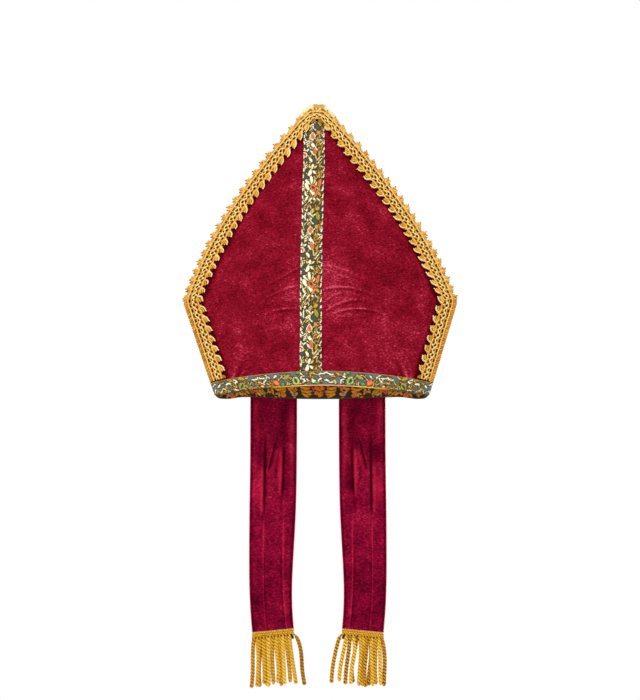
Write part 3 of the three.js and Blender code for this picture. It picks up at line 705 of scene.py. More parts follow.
# Arched wrinkles beside the ribbon, one a row: distance from the ribbon's edge at both ends, height at
# both ends, rise of the arch, how strongly it stands out, and width
WRINKLES = [
    (1, 54, 158, 138, 4, 1, 1.7),
    (1, 69, 127, 117, 7, 1.5, 1.6),
    (1, 20, 110, 122, 1, 1, 1.5),
    (1, 54, 96, 114, 6, 1.3, 1.7),
    (12, 82, 95, 94, 8, 1.4, 1.6),
    (10, 66, 76, 78, 7, 0.5, 2.4),
    (-1, -43, 156, 133, 1, 1, 1.8),
    (-1, -41, 132, 118, 2.5, 1.1, 1.6),
    (-1, -28, 110, 113, 1.5, 0.6, 1.6),
    (-2, -50, 102, 95, 3, 1.1, 1.6),
    (-8, -56, 74, 70, 5, 0.5, 2.6),
]
# Puckers over the rim binding near its ends, fanning upwards: x at the foot, x at the top, top
# height and strength
PUCKERS = [
    (105.5, 97, 44, 2.3),
    (112, 108, 34, 1),
    (98, 84, 38, 0.9),
    (-110, -102, 44, 2.1),
    (-116, -112, 34, 1),
    (-102, -88, 38, 0.8),
]
PUCKER_WIDTH = 2.6
PUCKER_SHADE = 0.3  # painted highlight: how much a millimetre of pucker lightens the pile
PUCKER_FADE = 1.2
PUCKER_FOOT = BAND_HEIGHT["end"] + 2
PUCKER_TROUGH = {"height": 0.7, "width": 3.5}
WRINKLE_START = 0.14  # where in its half sine a wrinkle starts, at the ribbon
WRINKLE_TROUGH = {"height": 0.3, "offset": 2.4, "width": 1.7}  # offset and width in the ridge's widths
# Unevenness all over: height in mm, seed, number of waves, shortest and longest wave
PANEL_RIPPLES = [(0.3, 3, 9, 45, 120), (0.1, 4, 12, 14, 30)]
RELIEF_STARTS = (17, 30)  # distances from the edge between which the relief rises, inside the lace
RELIEF_SINK = 0.1  # how far the whole cloth lies under its place in the solid
BESIDE_RIBBON = 8  # distance from the ribbon in which the ripples rise
PANEL_GRID = {FRONT: (180, 164), BACK: (104, 116)}  # rows and columns
ROWS_KNOTS = {"share": (0, 0.14, 0.62, 1), "rise": (0, 0.15, 0.46, 1)}  # rows lie closer at the wrinkles
COLUMNS_SINE = 0.97 * np.pi / 2  # columns lie closer at the side seams, by a sine up to this angle
SIDE_SLANT = 0.9 * np.pi / 2  # angle of the side's edge from the level
VELVET_INSET = 5.2  # how far the velvet stops inside the lace's outer edge, level with it
VELVET_TOP = PEAK_HEIGHT - 4.5
# Painted light and shade: how much a slope of 1 in the relief lightens the pile where it faces up and darkens
# it where down
RELIEF_SHADES = {"up": 0.85, "down": 0.5}
SLOPE_SPAN = 0.8  # height over which that slope is measured
CREST_SHADE = 0.12  # painted highlight: how much a millimetre of relief lightens it
# Painted light beside the ribbon, where the pile leans to the light: distance from its edge, height,
# half width, half height and strength
LIT_PILE_PATCHES = [
    (11, 125, 22, 44, 0.45),
    (-10, 120, 20, 40, 0.25),
    (80, 60, 45, 45, 0.25),
    (-80, 40, 45, 40, 0.15),
]
UNDER_LACE_SHADE = {"tone": -0.9, "from": LACE_WIDTH - 6, "to": LACE_WIDTH - 0.5}  # painted shade under the lace, fading out at its inner edge, by its inset


def wrinkle_relief(x, z):
    """Each wrinkle is a ridge along a parabola: strength * sin(pi s) * exp(-(offset / width) squared),
    with a wider, shallower trough under it, where s is the share of the way along it. It starts at
    the ribbon with some strength already."""
    relief = np.zeros_like(x)
    for start, end, height, to_height, rise, strength, width in WRINKLES:
        edge = ribbon_centre(z) + math.copysign(RIBBON_WIDTH / 2, start)
        share = (x - edge - start) / (end - start)
        inside = np.clip(share, 0, 1)
        line = lerp(height, to_height, inside) + 4 * rise * inside * (1 - inside)
        fade = np.sin(np.pi * lerp(WRINKLE_START, 1, inside)) * ((share > 0) & (share < 1))
        trough = hump(z - line + WRINKLE_TROUGH["offset"] * width, WRINKLE_TROUGH["width"] * width)
        relief += strength * fade * (hump(z - line, width) - WRINKLE_TROUGH["height"] * trough)
    return relief


def pucker_relief(x, z):
    """Ridges that rise from the binding and fade upwards."""
    relief = np.zeros_like(x)
    for low_x, high_x, top, strength in PUCKERS:
        share = np.clip((z - PUCKER_FOOT) / (top - PUCKER_FOOT), 0, 1)
        line = lerp(low_x, high_x, share)
        trough = hump(x - line + 2 * PUCKER_WIDTH * np.sign(low_x), PUCKER_TROUGH["width"])
        ridge = hump(x - line, PUCKER_WIDTH) - PUCKER_TROUGH["height"] * trough
        relief += strength * (1 - share) ** PUCKER_FADE * ridge
    return relief


def ripple(x, z, seed, count, low, high):
    """Soft unevenness: a sum of sine waves of random direction, with lengths between low and high."""
    dice = np.random.default_rng(seed)
    total = np.zeros_like(x)
    for _ in range(count):
        length = dice.uniform(low, high)
        turn = dice.uniform(0, np.pi)
        phase = dice.uniform(0, 2 * np.pi)
        total += np.sin(2 * np.pi * (x * np.cos(turn) + z * np.sin(turn)) / length + phase)
    return total / math.sqrt(count)


def panel_relief(x, z, side, from_edge):
    """Ripples, wrinkles and puckers, which die out under the lace and under the ribbon."""
    relief = sum(height * ripple(x, z, *row) for height, *row in PANEL_RIPPLES)
    if side == FRONT:
        beside = np.abs(x - ribbon_centre(z)) - RIBBON_WIDTH / 2
        relief = relief * smoothstep(beside, 0, BESIDE_RIBBON) + wrinkle_relief(x, z) + pucker_relief(x, z)
    return relief * smoothstep(from_edge, *RELIEF_STARTS) - RELIEF_SINK


def panel_part(side):
    """The skin of the hat, lifted by its relief, and its inner face a wall's thickness under it. The
    tone is painted light and shade: lighter where the relief faces up and on its crests, darker where it
    faces down, with painted light on the front's puckers and beside its ribbon, and painted shade under
    the lace."""
    rows, columns = PANEL_GRID[side]
    share = np.sin(np.linspace(-1, 1, columns) * COLUMNS_SINE) / math.sin(COLUMNS_SINE)
    rise = np.interp(np.linspace(0, 1, rows), ROWS_KNOTS["share"], ROWS_KNOTS["rise"])
    share, height = np.meshgrid(share, VELVET_TOP * rise)
    across = share * (1 - VELVET_INSET * openness(height) / half_width(height))
    foot = rim_rise(share, side) + np.maximum(rim_end(share, side), 0)
    z = height + foot * (1 - smoothstep(height, 0, CORNER_HEIGHT))
    x = over_skin(across, z, side, 0)[..., 0]
    slope_slant = np.arctan2(PEAK_HEIGHT - CORNER_HEIGHT, CORNER_HALF_WIDTH)
    slant = np.sin(slope_slant * openness(z) + SIDE_SLANT * (1 - openness(z)))
    from_edge = (half_width(z) - np.abs(x - middle_line(z))) * slant
    relief = panel_relief(x, z, side, from_edge)
    facing_up = (relief - panel_relief(x, z + SLOPE_SPAN, side, from_edge)) / SLOPE_SPAN
    outer = over_skin(across, z, side, relief)
    inner = over_skin(across, z, side, relief - PANEL_WALL)
    # painted shade: lighter where the relief faces up and on its crests, darker where it faces down
    shades = np.where(facing_up > 0, RELIEF_SHADES["up"], RELIEF_SHADES["down"])
    tone = shades * facing_up + CREST_SHADE * relief
    if side == FRONT:
        # painted highlight on the puckers' ridges and painted shade in their troughs
        tone = tone + PUCKER_SHADE * pucker_relief(x, z) * smoothstep(from_edge, *RELIEF_STARTS)
        # painted light in patches beside the ribbon
        aside = x - ribbon_centre(z)
        for distance, middle, wide, high, strength in LIT_PILE_PATCHES:
            edge = math.copysign(RIBBON_WIDTH / 2, distance)
            tone = tone + strength * hump(aside - edge - distance, wide) * hump(z - middle, high)
    # painted shade under the lace
    tone = tone + UNDER_LACE_SHADE["tone"] * (1 - smoothstep(from_edge, UNDER_LACE_SHADE["from"], UNDER_LACE_SHADE["to"]))
    return wall(outer, inner, uv=stacked(x, z), tone=tone)


# Brocade: flowers, leaves and scrolls as brush strokes, charted

COLOURS = {
    "slate": linear("#434b44"),
    "steel": linear("#616a6a"),
    "olive": linear("#3a3210"),
    "cream": linear("#fff4cc"),
    "gold": linear("#d09a2a"),
    "straw": linear("#f0d07c"),
    "orange": linear("#ea8048"),
    "flame": linear("#df5420"),
    "salmon": linear("#eea688"),
    "leaf": linear("#6f9426"),
    "emerald": linear("#3fae4c"),
    "umber": linear("#40301c"),
    "amber": linear("#ffa01c"),
    "scarlet": linear("#ff6428"),
    "honey": linear("#f0a828"),
}


def chart(text):
    """The strokes of a table, one a row: shape, x and y of its start and of its end, how far its middle
    stands aside, its width, and the colours of its outline and heart, or one for both."""
    rows = [line.split() for line in text.strip().split("\n")]
    return [(row[0], *map(float, row[1:7]), *row[7:]) for row in rows]


# The ribbon's strokes are measured across from its left edge and down it
RIBBON_REPEAT = 118.4
RIBBON_SWAY = {"foot": 20, "length": 270, "left": 1.4}  # how it bows to the left of a straight line
RIBBON_WAVER = [(0.25, 11)]
RIBBON_STRETCH = 1.086  # the chart is drawn shorter than it is woven
RIBBON_CHART_TOP = 346.8  # height at which the ribbon's chart starts
RIBBON_STROKES = chart("""
leaf 9.5 0.5 13.5 4.5 0.5 2.4 leaf
line 11 1.6 15.4 4.8 0.4 1.3 cream
line 7.6 5.2 11 2.4 0.4 1.2 straw
diamond 11.7 6.4 11.7 18.4 0 7.6 cream salmon
drop 11.4 9 11.9 14.6 0 4.2 orange flame
leaf 17.6 6 20.2 10.4 0.4 4.2 gold orange
line 19.8 10.4 20.6 15.2 0.6 1.1 gold
line 24.8 7.2 26.6 12.6 0.4 1.3 cream
leaf 0.9 12.8 1 17.4 0.2 2.4 orange flame
line 2.8 13.2 4.4 18.6 -1.4 1.5 cream
line 16 21 21.6 20 -3.4 1.2 gold
line 21.6 20 17 25.6 -2.2 1.2 gold
line 21.4 24 26.2 19.4 0.8 1.3 straw
line 8.4 19.4 4.6 26 0.5 1.9 cream
line 4.6 23.6 7.4 21.8 0.3 1.3 cream
line 2.6 30.6 5 31.8 0.8 1.7 cream
line 5 31.8 7.4 29.6 0.8 1.7 cream
drop 12.2 20.4 14.6 35 -0.8 8.6 cream
line 9.6 25.4 11.6 27.6 0.2 0.8 olive
line 9.2 29.2 11.6 30.6 0.2 0.8 olive
drop 14 26.4 15.6 34.6 -0.5 4.4 orange flame
line 14.6 35 16 43.4 0.8 1.3 straw cream
line 16 43.4 21.8 36.4 -0.8 1.2 straw gold
leaf 22 30.6 20 38 -0.6 2.6 gold
line 24.4 33.4 26.6 28.4 0.3 1.6 cream
leaf 24.8 40.2 27 36.8 0.2 3 cream salmon
drop 4.8 36.4 -1.2 36.2 0 7.4 cream flame
leaf 7 39.4 10.8 45.6 0.4 3 cream
line 18.2 46.4 23.2 45 -2 1.2 gold
line 23.2 45 21.4 53 -1.4 1.4 gold
line 17.6 47.2 20.2 45.4 0.2 1.4 cream
leaf 1.3 47 1.3 57 -0.6 4.6 cream leaf
line 3.2 47.8 5 44.8 0.2 1.1 straw
leaf 11.2 54.2 12.6 48.2 0.2 3.6 cream
drop 10 53.4 7.2 62.6 0.7 4.2 cream
leaf 12 54.6 16.4 60.4 -0.5 2.6 cream
leaf 13.2 53.4 17.4 50.4 0.4 2.4 straw gold
leaf 9.4 52.6 7.2 49.6 0.2 2.4 straw leaf
line 12.4 55 15 55.2 0 1.2 olive
line 20.2 57.6 22.4 61.4 -1.4 2 gold
line 22.4 61.4 18.4 66.2 -1.2 1.6 gold straw
line 14.2 63.6 17.6 66.4 -0.4 1.3 salmon cream
drop 12.4 74.6 10.4 63 0 3.8 cream
drop 10.8 74 3.6 67 0.6 3 cream
drop 10.6 81.4 4.2 71.6 1.2 4.4 cream
leaf 10 80.4 15 87 0.8 4.4 cream
leaf 14.6 72.8 15.2 66.4 -0.6 2.2 straw gold
leaf 15.4 75.6 18 69.8 -0.6 2.2 straw cream
leaf 11.6 74 17.4 82 -0.4 6.2 orange flame
line 12.6 76.4 14.6 78.2 0 1.5 olive
leaf 22.8 66.6 21.4 77.2 -0.4 3.8 orange flame
line 21.6 77.4 23.4 82 -0.6 1.4 gold straw
line 20.2 80 14.8 89.6 0.8 2.8 orange
leaf 19.4 83 23.8 88 0.3 3 gold
line 4.2 82.6 7.8 88.2 -1.6 1.9 cream
line 7.8 88.2 4.4 95.4 -0.8 1.6 cream
line 1.2 92.6 4.2 96.4 0.4 1.2 straw leaf
line 8.8 95 12.8 90.2 0.4 1.9 cream
leaf 14.6 90.4 17.6 94.4 0 2.4 cream
line 14.4 97.8 18.6 92.6 0.4 1.1 gold straw
line 6.6 99.4 5 108 0.9 1.9 cream
line 5 108 4.6 117.8 -0.6 1.5 cream straw
line 9.4 97.8 6.6 103.2 0.3 1.4 salmon cream
leaf 11.4 110 14.4 103.8 0.3 3.4 straw leaf
line 8 108.6 14.4 114.4 0.4 1.5 cream
line 14.6 113.2 18.6 109.4 0.4 1.6 cream
line 11.2 103.6 9.2 99.4 -0.4 1.2 straw
leaf 17.4 104.8 21.6 102.2 -0.5 4 gold
leaf 18 108.2 21.4 117.6 0.5 4.6 gold leaf
leaf 6.6 117.6 12.4 114.6 -1.4 3.6 cream leaf
line 9.4 117 12.6 121 0.6 1.4 cream
""")
# Thin stems under them: middle, swing, waves, phase, colour and width
RIBBON_VINES = [
    (20, 4.2, 4, 0.1, "gold", 1.1),
    (6.5, 4, 5, 0.4, "straw", 1),
    (13, 4.5, 3, 0.7, "gold", 1),
]
# Small strokes between them: seed, number, shortest and longest, width and colours
RIBBON_SPRINKLES = (41, 56, (4.0, 10.0), 1.2, ("cream", "gold", "cream", "straw"))
# Rows of its two edges: dashes of cream, cut off by the edge, repeat down them
EDGE_DASHES = {"step": 8.45, "left": (0.2, 2.0, 1.0, 6.0), "right": (26.9, 0.6, 25.4, 5.4), "width": 1.6}
DASH_SEED = 42
DASH_STRAY = 0.5
DASH_WIDTHS = (0.7, 1.2)  # narrowest and widest, as shares of their width

# The rim binding's outside, measured outwards from the middle of the front and down from its upper
# edge; both halves are alike but for the strokes from 200 on, which are the right half's first ones
BAND_REPEAT = 139.0
BAND_CHART_HEIGHT = 16.5
BAND_STROKES = chart("""
line 0 3.2 5.4 5.2 1.2 1.3 cream
drop 13.6 7.4 6.4 12.8 2.2 4.2 cream
leaf 5 13.6 10.4 13.8 0.3 2 emerald leaf
line 5.4 12.2 2 8.6 -1 1.5 cream
leaf 10 1.2 16.4 2.8 -0.3 2.4 gold leaf
line 17.6 11.8 19.6 8.4 0.2 1.3 cream
line 26.4 1.4 22.8 5.2 0.8 1.5 cream
line 22.8 5.2 26.4 8.6 1.4 1.4 cream
line 26.4 8.6 21.8 13.6 -2.2 1.4 cream straw
leaf 27.6 0.8 31.8 2.6 0.2 2.4 emerald
diamond 30.4 15 35.2 5.8 0 8.2 straw emerald
line 32 12.2 33.8 8.8 0 1.3 olive
line 40.6 15.4 41.8 11.8 0.2 1.2 straw cream
line 43.4 15.2 43 11.4 0.2 1.1 straw cream
leaf 39.4 3 49 7.4 -0.6 3.6 gold emerald
leaf 47 13.2 51.4 13.4 0.2 2.8 emerald
drop 61.8 9.4 54.2 13 -0.6 5.2 scarlet orange
line 63.4 6.8 62.2 15.4 -1.6 1.1 gold
line 62.2 15.4 50.6 15.8 0.4 1.1 straw gold
line 55.8 3.2 58.2 5.4 0.3 1.6 cream
line 64.4 5.4 69 1.6 0.4 1.2 cream straw
line 67.4 3.4 72.6 10.2 -0.8 1.3 cream
line 70.2 4.6 78 2.8 -1.2 1.5 cream
line 78 2.8 86.2 4.8 -1.6 1.6 cream
line 86.2 4.8 83.6 8 -1.2 1.5 cream
line 83.6 7.2 76.4 12.4 -1 1 gold
line 70.4 12.6 79.8 9.2 1 1.1 straw
leaf 72.4 14.8 76.8 13.6 0.3 2.6 salmon cream
line 78.2 15.2 82.4 12.6 0.4 1.2 gold
line 91 7 94.2 12.2 0.3 1 gold straw
line 94.8 7.8 90.6 11.2 0.3 1 leaf gold
diamond 96.6 7 104.6 14.6 0.4 7 gold emerald
line 99.2 9.6 102.6 12.6 0 1.2 olive
leaf 95.4 3.6 104.6 1.8 0.6 3 gold leaf
leaf 104.8 4.4 109.6 6.4 0.2 2.3 cream
line 107 9.6 113 8 -1.4 1.3 straw gold
line 113 8 111 13.8 -1.4 1.2 gold
line 106.8 14.8 112.4 13.4 0.4 1.2 cream straw
line 115.4 6.2 122.6 6 0.8 1.9 cream
line 112.6 2.2 120 1.4 0.4 1.2 gold
line 124 12.6 130 9.6 0.8 1.4 straw cream
line 130 9.6 134.6 13.8 -1 1.4 straw cream
leaf 131 4.4 136.8 6.6 -0.8 2.2 cream straw
line 124.6 3 129.8 5.2 0.6 1.1 gold
line 200.6 4 206 2.4 1.2 1.5 cream
line 206 2.4 212.4 3.8 -1 1.4 cream straw
line 201.6 10.4 207.2 12.8 1.4 1.6 cream
line 207.2 12.8 213.4 9.4 -1.6 1.5 cream
leaf 213.4 9.4 216.6 14.2 -0.8 2.4 straw leaf
leaf 214.8 2 220.4 4.6 0.5 2.6 gold leaf
line 208.4 7.4 214.8 6.4 0.8 1.1 gold
""")
BAND_VINES = [
    (8, 5.4, 5, 0.1, "gold", 1),
    (8.5, 5.6, 4, 0.45, "straw", 0.9),
    (14.4, 1.6, 6, 0.2, "gold", 1),
]
BAND_SPRINKLES = (43, 22, (4.0, 10.0), 1.1, ("gold", "straw", "gold", "cream"))
# Its inside, where the wrong side shows in browns and orange, measured up from the fold
REVERSE_SPRINKLES = (44, 46, (5.0, 9.0), 1.9, ("amber", "honey", "amber", "scarlet"))
REVERSE_WIDENED = 1.3
REVERSE_STROKES = chart("""
drop 4 9.6 0.6 15.4 0.6 3.6 amber scarlet
drop 4.4 9.4 9.4 14.8 -0.6 3.8 amber scarlet
drop 4.4 9 10 6.6 0.6 3.8 amber scarlet
drop 4 8.8 -1.6 5.6 -0.8 4.2 amber scarlet
drop 3.8 8.6 4.8 2.4 0.4 3.4 amber scarlet
leaf 28.6 12.4 14 5.4 -1.8 3.2 amber honey
leaf 28 9.6 13 9.6 -1.2 2.8 amber
leaf 29 15 15.4 13.6 -1.4 2.8 amber honey
leaf 27.4 7.2 18 2.6 -0.8 2.4 honey amber
leaf 32.4 6.8 39.2 4.2 0.4 2.6 straw leaf
line 33 11 36.6 15 0.6 1.8 amber
line 38.4 3.4 44.8 12.2 -1.4 2 salmon amber
line 44.8 12.2 36.6 14.6 -1 2.2 amber
leaf 46.4 13.4 61.2 11.6 2.4 3.4 amber
leaf 46.8 9.8 62.4 5 1.2 3 amber honey
leaf 63 3.4 64.4 13.2 1.8 2.4 amber
leaf 48.6 3.4 54.4 4.4 0.3 4.2 amber scarlet
line 56 6.8 57.6 1.4 0.4 1.2 straw
line 66.2 6.4 70.8 12.2 2.4 1.8 honey
line 70.8 12.2 72.4 6 1.6 1.8 honey amber
line 72.4 6 66.2 6.4 1.4 1.6 honey
leaf 74.4 3.6 80.6 13.8 0.8 2.6 honey leaf
leaf 77.6 2.6 83.6 11 0.8 2.4 amber honey
leaf 81.4 1.8 85.6 7.4 0.5 2 straw amber
leaf 86.4 6.2 92.4 10.8 -1.4 4.4 amber scarlet
leaf 88.4 9.6 94 4.2 -1 4.2 scarlet flame
leaf 96 3.2 102 9.4 0.6 2.2 honey amber
line 101.6 2.4 107.6 7.6 0.8 1.8 amber
leaf 106 1.6 112.4 5.2 -0.6 2.6 honey straw
leaf 112.2 6.6 118.4 3 0.8 2.6 amber
leaf 119.6 3 125.6 4.2 0.4 5 amber scarlet
leaf 126.4 6.8 132.8 2.6 0.8 2.4 honey amber
line 129.8 9.2 136.6 7 0.8 1.8 amber
""")
# How wide a stroke is at nine places along it, as a share of its width
SWELLS = {
    "leaf": (0, 0.5, 0.8, 0.95, 1, 0.95, 0.8, 0.5, 0),
    "drop": (0, 0.24, 0.48, 0.7, 0.89, 1, 0.96, 0.73, 0),
    "diamond": (0, 0.25, 0.5, 0.78, 1, 0.78, 0.5, 0.25, 0),
    "line": (0.4, 0.85, 0.95, 1, 1, 1, 0.95, 0.85, 0.4),
}
OUTLINE = 1.0  # width of a stroke's outline
HALO = {"ribbon": 1.5, "band": 1.15, "reverse": 1.5}  # width of the dark ground woven round a stroke
CUT = 0.7  # how far that dark ground cuts into the strokes under it
RAGGED = 0.22  # how far a stroke's edge wanders, thread by thread
WEAVE_SEED = 31
SPRINKLE_BEND = 0.35  # the most that a sprinkled stroke bends aside, as a share of its length
STROKE_REACH = 2.5  # how far past a stroke its distance still counts
FLOAT_HEIGHT = 0.22  # how much higher a stroke's threads lie than the ground
FLOAT_EDGE = (-0.3, 0.6)
FAR = 99.0


def sprinkles(long, wide, seed, count, sizes, width, colours):
    """Small bent strokes at random places and ways, which fill the ground between the flowers."""
    dice = np.random.default_rng(seed)
    rows = []
    for _ in range(count):
        x, y, way = dice.uniform(0, long), dice.uniform(0, wide), dice.uniform(0, 2 * np.pi)
        size = dice.uniform(*sizes)
        colour = colours[dice.integers(len(colours))]
        bend = size * dice.uniform(-SPRINKLE_BEND, SPRINKLE_BEND)
        rows.append(("line", x, y, x + size * np.cos(way), y + size * np.sin(way), bend, width, colour))
    return rows


def vine(length, middle, swing, waves, phase, colour, width):
    """A thin scrolling stem as short strokes: across = middle + swing * sin(2 pi * (waves * along / length
    + phase)), with along running the length of the chart."""
    count = 8 * waves
    along = np.arange(count + 1) * length / count
    across = middle + swing * np.sin(2 * np.pi * (waves * along / length + phase))
    return [("line", across[k], along[k], across[k + 1], along[k + 1], 0.0, width, colour)
            for k in range(count) if k % 5 != 4]


def stroke_distance(x, y, row):
    """Signed distance, in millimetres, to a brush stroke: the least, over the pieces of its bent line,
    of the distance to the piece less half the stroke's width there."""
    shape, x0, y0, x1, y1, bend, width = row[:7]
    half = width / 2 * np.array(SWELLS[shape])
    share = np.linspace(0, 1, len(half))
    length = math.hypot(x1 - x0, y1 - y0)
    arch = 4 * share * (1 - share) * bend / length
    line_x = lerp(x0, x1, share) + arch * (y1 - y0)
    line_y = lerp(y0, y1, share) - arch * (x1 - x0)
    best = np.full(x.shape, FAR)
    for k in range(len(half) - 1):
        way_x, way_y = line_x[k + 1] - line_x[k], line_y[k + 1] - line_y[k]
        place = ((x - line_x[k]) * way_x + (y - line_y[k]) * way_y) / (way_x ** 2 + way_y ** 2)
        place = np.clip(place, 0, 1)
        off = np.hypot(x - line_x[k] - place * way_x, y - line_y[k] - place * way_y)
        best = np.minimum(best, off - lerp(half[k], half[k + 1], place))
    return best


def brocade(x, y, strokes, ground, shade, halo):
    """Colour and height of the weave at each place. The ground is woven round each stroke in a darker
    shade; a stroke has an outline and a heart, and its threads float a little higher."""
    colour = np.broadcast_to(np.array(COLOURS[ground]), (*x.shape, 4)).copy()
    near = np.full(x.shape, FAR)
    ragged = np.random.default_rng(WEAVE_SEED).normal(0, RAGGED, x.shape)
    painted = []
    for row in strokes:
        reach = row[6] / 2 + abs(row[5]) + STROKE_REACH
        box = (x > min(row[1], row[3]) - reach) & (x < max(row[1], row[3]) + reach)
        box &= (y > min(row[2], row[4]) - reach) & (y < max(row[2], row[4]) + reach)
        gap = stroke_distance(x[box], y[box], row) + ragged[box]
        near[box] = np.minimum(near[box], gap)
        painted.append((box, gap, COLOURS[row[7]], COLOURS[row[-1]]))
    colour[near < halo] = COLOURS[shade]
    for box, gap, outline, heart in painted:
        inside = colour[box]
        inside[gap < CUT] = COLOURS[shade]
        inside[gap < 0] = outline
        inside[gap < -OUTLINE] = heart
        colour[box] = inside
    return colour, FLOAT_HEIGHT * smoothstep(-near, *FLOAT_EDGE)


RIBBON_GRID = (500, 46)
RIBBON_TUCK = 3.0  # how far the ribbon runs under the lace
RIBBON_EDGE = {"drop": 0.6, "width": 0.9}  # its edges are turned under
RIBBON_UNDER = 0.2  # how far its back lies under its gap to the velvet


def lace_mitre_foot():
    """Height of the lace's inner edge over the middle of the ribbon."""
    inset = LACE_PEAK_WIDTH
    return float(inset_point(np.float64(mitre_height(inset, LACE_MITRE_HALF)), 1.0, inset)[1])


def ribbon_strokes():
    """The chart's rows and the dashes of both edges, once more above it so that it repeats."""
    rows = sprinkles(RIBBON_WIDTH, RIBBON_REPEAT, *RIBBON_SPRINKLES)
    rows += [row for stem in RIBBON_VINES for row in vine(RIBBON_REPEAT, *stem)] + RIBBON_STROKES
    step = EDGE_DASHES["step"]
    dice = np.random.default_rng(DASH_SEED)
    for k in range(round(RIBBON_REPEAT / step)):
        for side in ("left", "right"):
            x0, y0, x1, y1 = EDGE_DASHES[side] + dice.normal(0, DASH_STRAY, 4)
            width = EDGE_DASHES["width"] * dice.uniform(*DASH_WIDTHS)
            heart = "cream" if k % 3 else "salmon"
            rows.append(("line", x0, y0 + k * step, x1, y1 + k * step, 0.5, width, "cream", heart))
    return rows + [(shape, x0, y0 - RIBBON_REPEAT, x1, y1 - RIBBON_REPEAT, *rest)
                   for shape, x0, y0, x1, y1, *rest in rows]


def ribbon_part():
    """The ribbon's face follows the velvet at one lift, and its two edges are turned under."""
    foot = float(band_top(0.0, FRONT, BAND_HEIGHT)) + TRIM_GAP
    top = lace_mitre_foot() + RIBBON_TUCK
    z, share = grid(*RIBBON_GRID, (foot, top))
    up = np.clip((z - RIBBON_SWAY["foot"]) / RIBBON_SWAY["length"], 0, 1)
    centre = ribbon_centre(z) - RIBBON_SWAY["left"] * np.sin(np.pi * up)
    x = centre + (share - 0.5) * RIBBON_WIDTH + waves(z, RIBBON_WAVER)
    right = share * RIBBON_WIDTH
    down = np.mod((RIBBON_CHART_TOP - z) / RIBBON_STRETCH, RIBBON_REPEAT)
    colour, floats = brocade(right, down, ribbon_strokes(), "slate", "olive", HALO["ribbon"])
    turned_under = RIBBON_EDGE["drop"] * hump(np.minimum(right, RIBBON_WIDTH - right), RIBBON_EDGE["width"])
    wave = 0.18 * np.sin(z / 7.3 + 2 * share) + 0.12 * np.sin(z / 3.1)
    lift = TRIM_GAP + RIBBON_WALL + floats + wave - turned_under
    outer = over_panel(x, z, FRONT, lift)
    inner = over_panel(x, z, FRONT, np.full_like(z, TRIM_GAP - RIBBON_UNDER))
    return wall(outer, inner, uv=stacked(right, z), colour=colour)


BAND_STATIONS = 400  # on each side of the hat
BAND_OUTSIDE = 28
BAND_INSIDE = 26
BAND_AXIS = 1.4  # where along X the binding's chart starts
BAND_RIGHT_START = 200.0  # the first strokes on the right have their own place in the chart
BAND_RIGHT_WIDTH = 21.0
BAND_STRETCH = 1.1  # how much higher its chart is woven than drawn
BAND_SELVEDGE = 0.6
BAND_WAVES = [(0.16, 5.7), (0.1, 2.3)]
BAND_FOLD = {"start": 0.7, "depth": 1.0, "angles": np.radians(np.linspace(18, 162, 7))}
BAND_GIRTH_STEP = 0.6
UNDER_SHIFT = 11.0  # how far on the inside's chart starts on the right
# Colours of the fold along the front's lower edge, by distance from the chart's middle; on the right
# each one runs on a little further. The back's fold is dark
FOLD_COLOURS = ((16, "salmon"), (22, "straw"), (58, "gold"), (66, "olive"))
FOLD_SHIFT = 20.0


def band_strokes():
    """The vines, turned to run along the chart, and the chart's rows."""
    stems = [row for stem in BAND_VINES for row in vine(BAND_REPEAT, *stem)]
    stems = [(shape, y0, x0, y1, x1, *rest) for shape, x0, y0, x1, y1, *rest in stems]
    return sprinkles(BAND_REPEAT, BAND_CHART_HEIGHT, *BAND_SPRINKLES) + stems + BAND_STROKES


def reverse_strokes():
    """The inside's chart, with its strokes widened, since their threads run loose on the wrong side."""
    filling = sprinkles(BAND_REPEAT, BAND_CHART_HEIGHT, *REVERSE_SPRINKLES)
    return filling + [(*row[:6], row[6] * REVERSE_WIDENED, *row[7:]) for row in REVERSE_STROKES]


def fold_colours(outward, right, side):
    """Colours along the lower edge, blended from one stop to the next."""
    stops = np.array([place for place, _ in FOLD_COLOURS])
    shades = np.array([COLOURS[name] for _, name in FOLD_COLOURS])
    if side == BACK:
        shades[:] = COLOURS["umber"]
    return stacked(*[np.interp(outward - FOLD_SHIFT * right, stops, shades[:, k]) for k in range(4)])


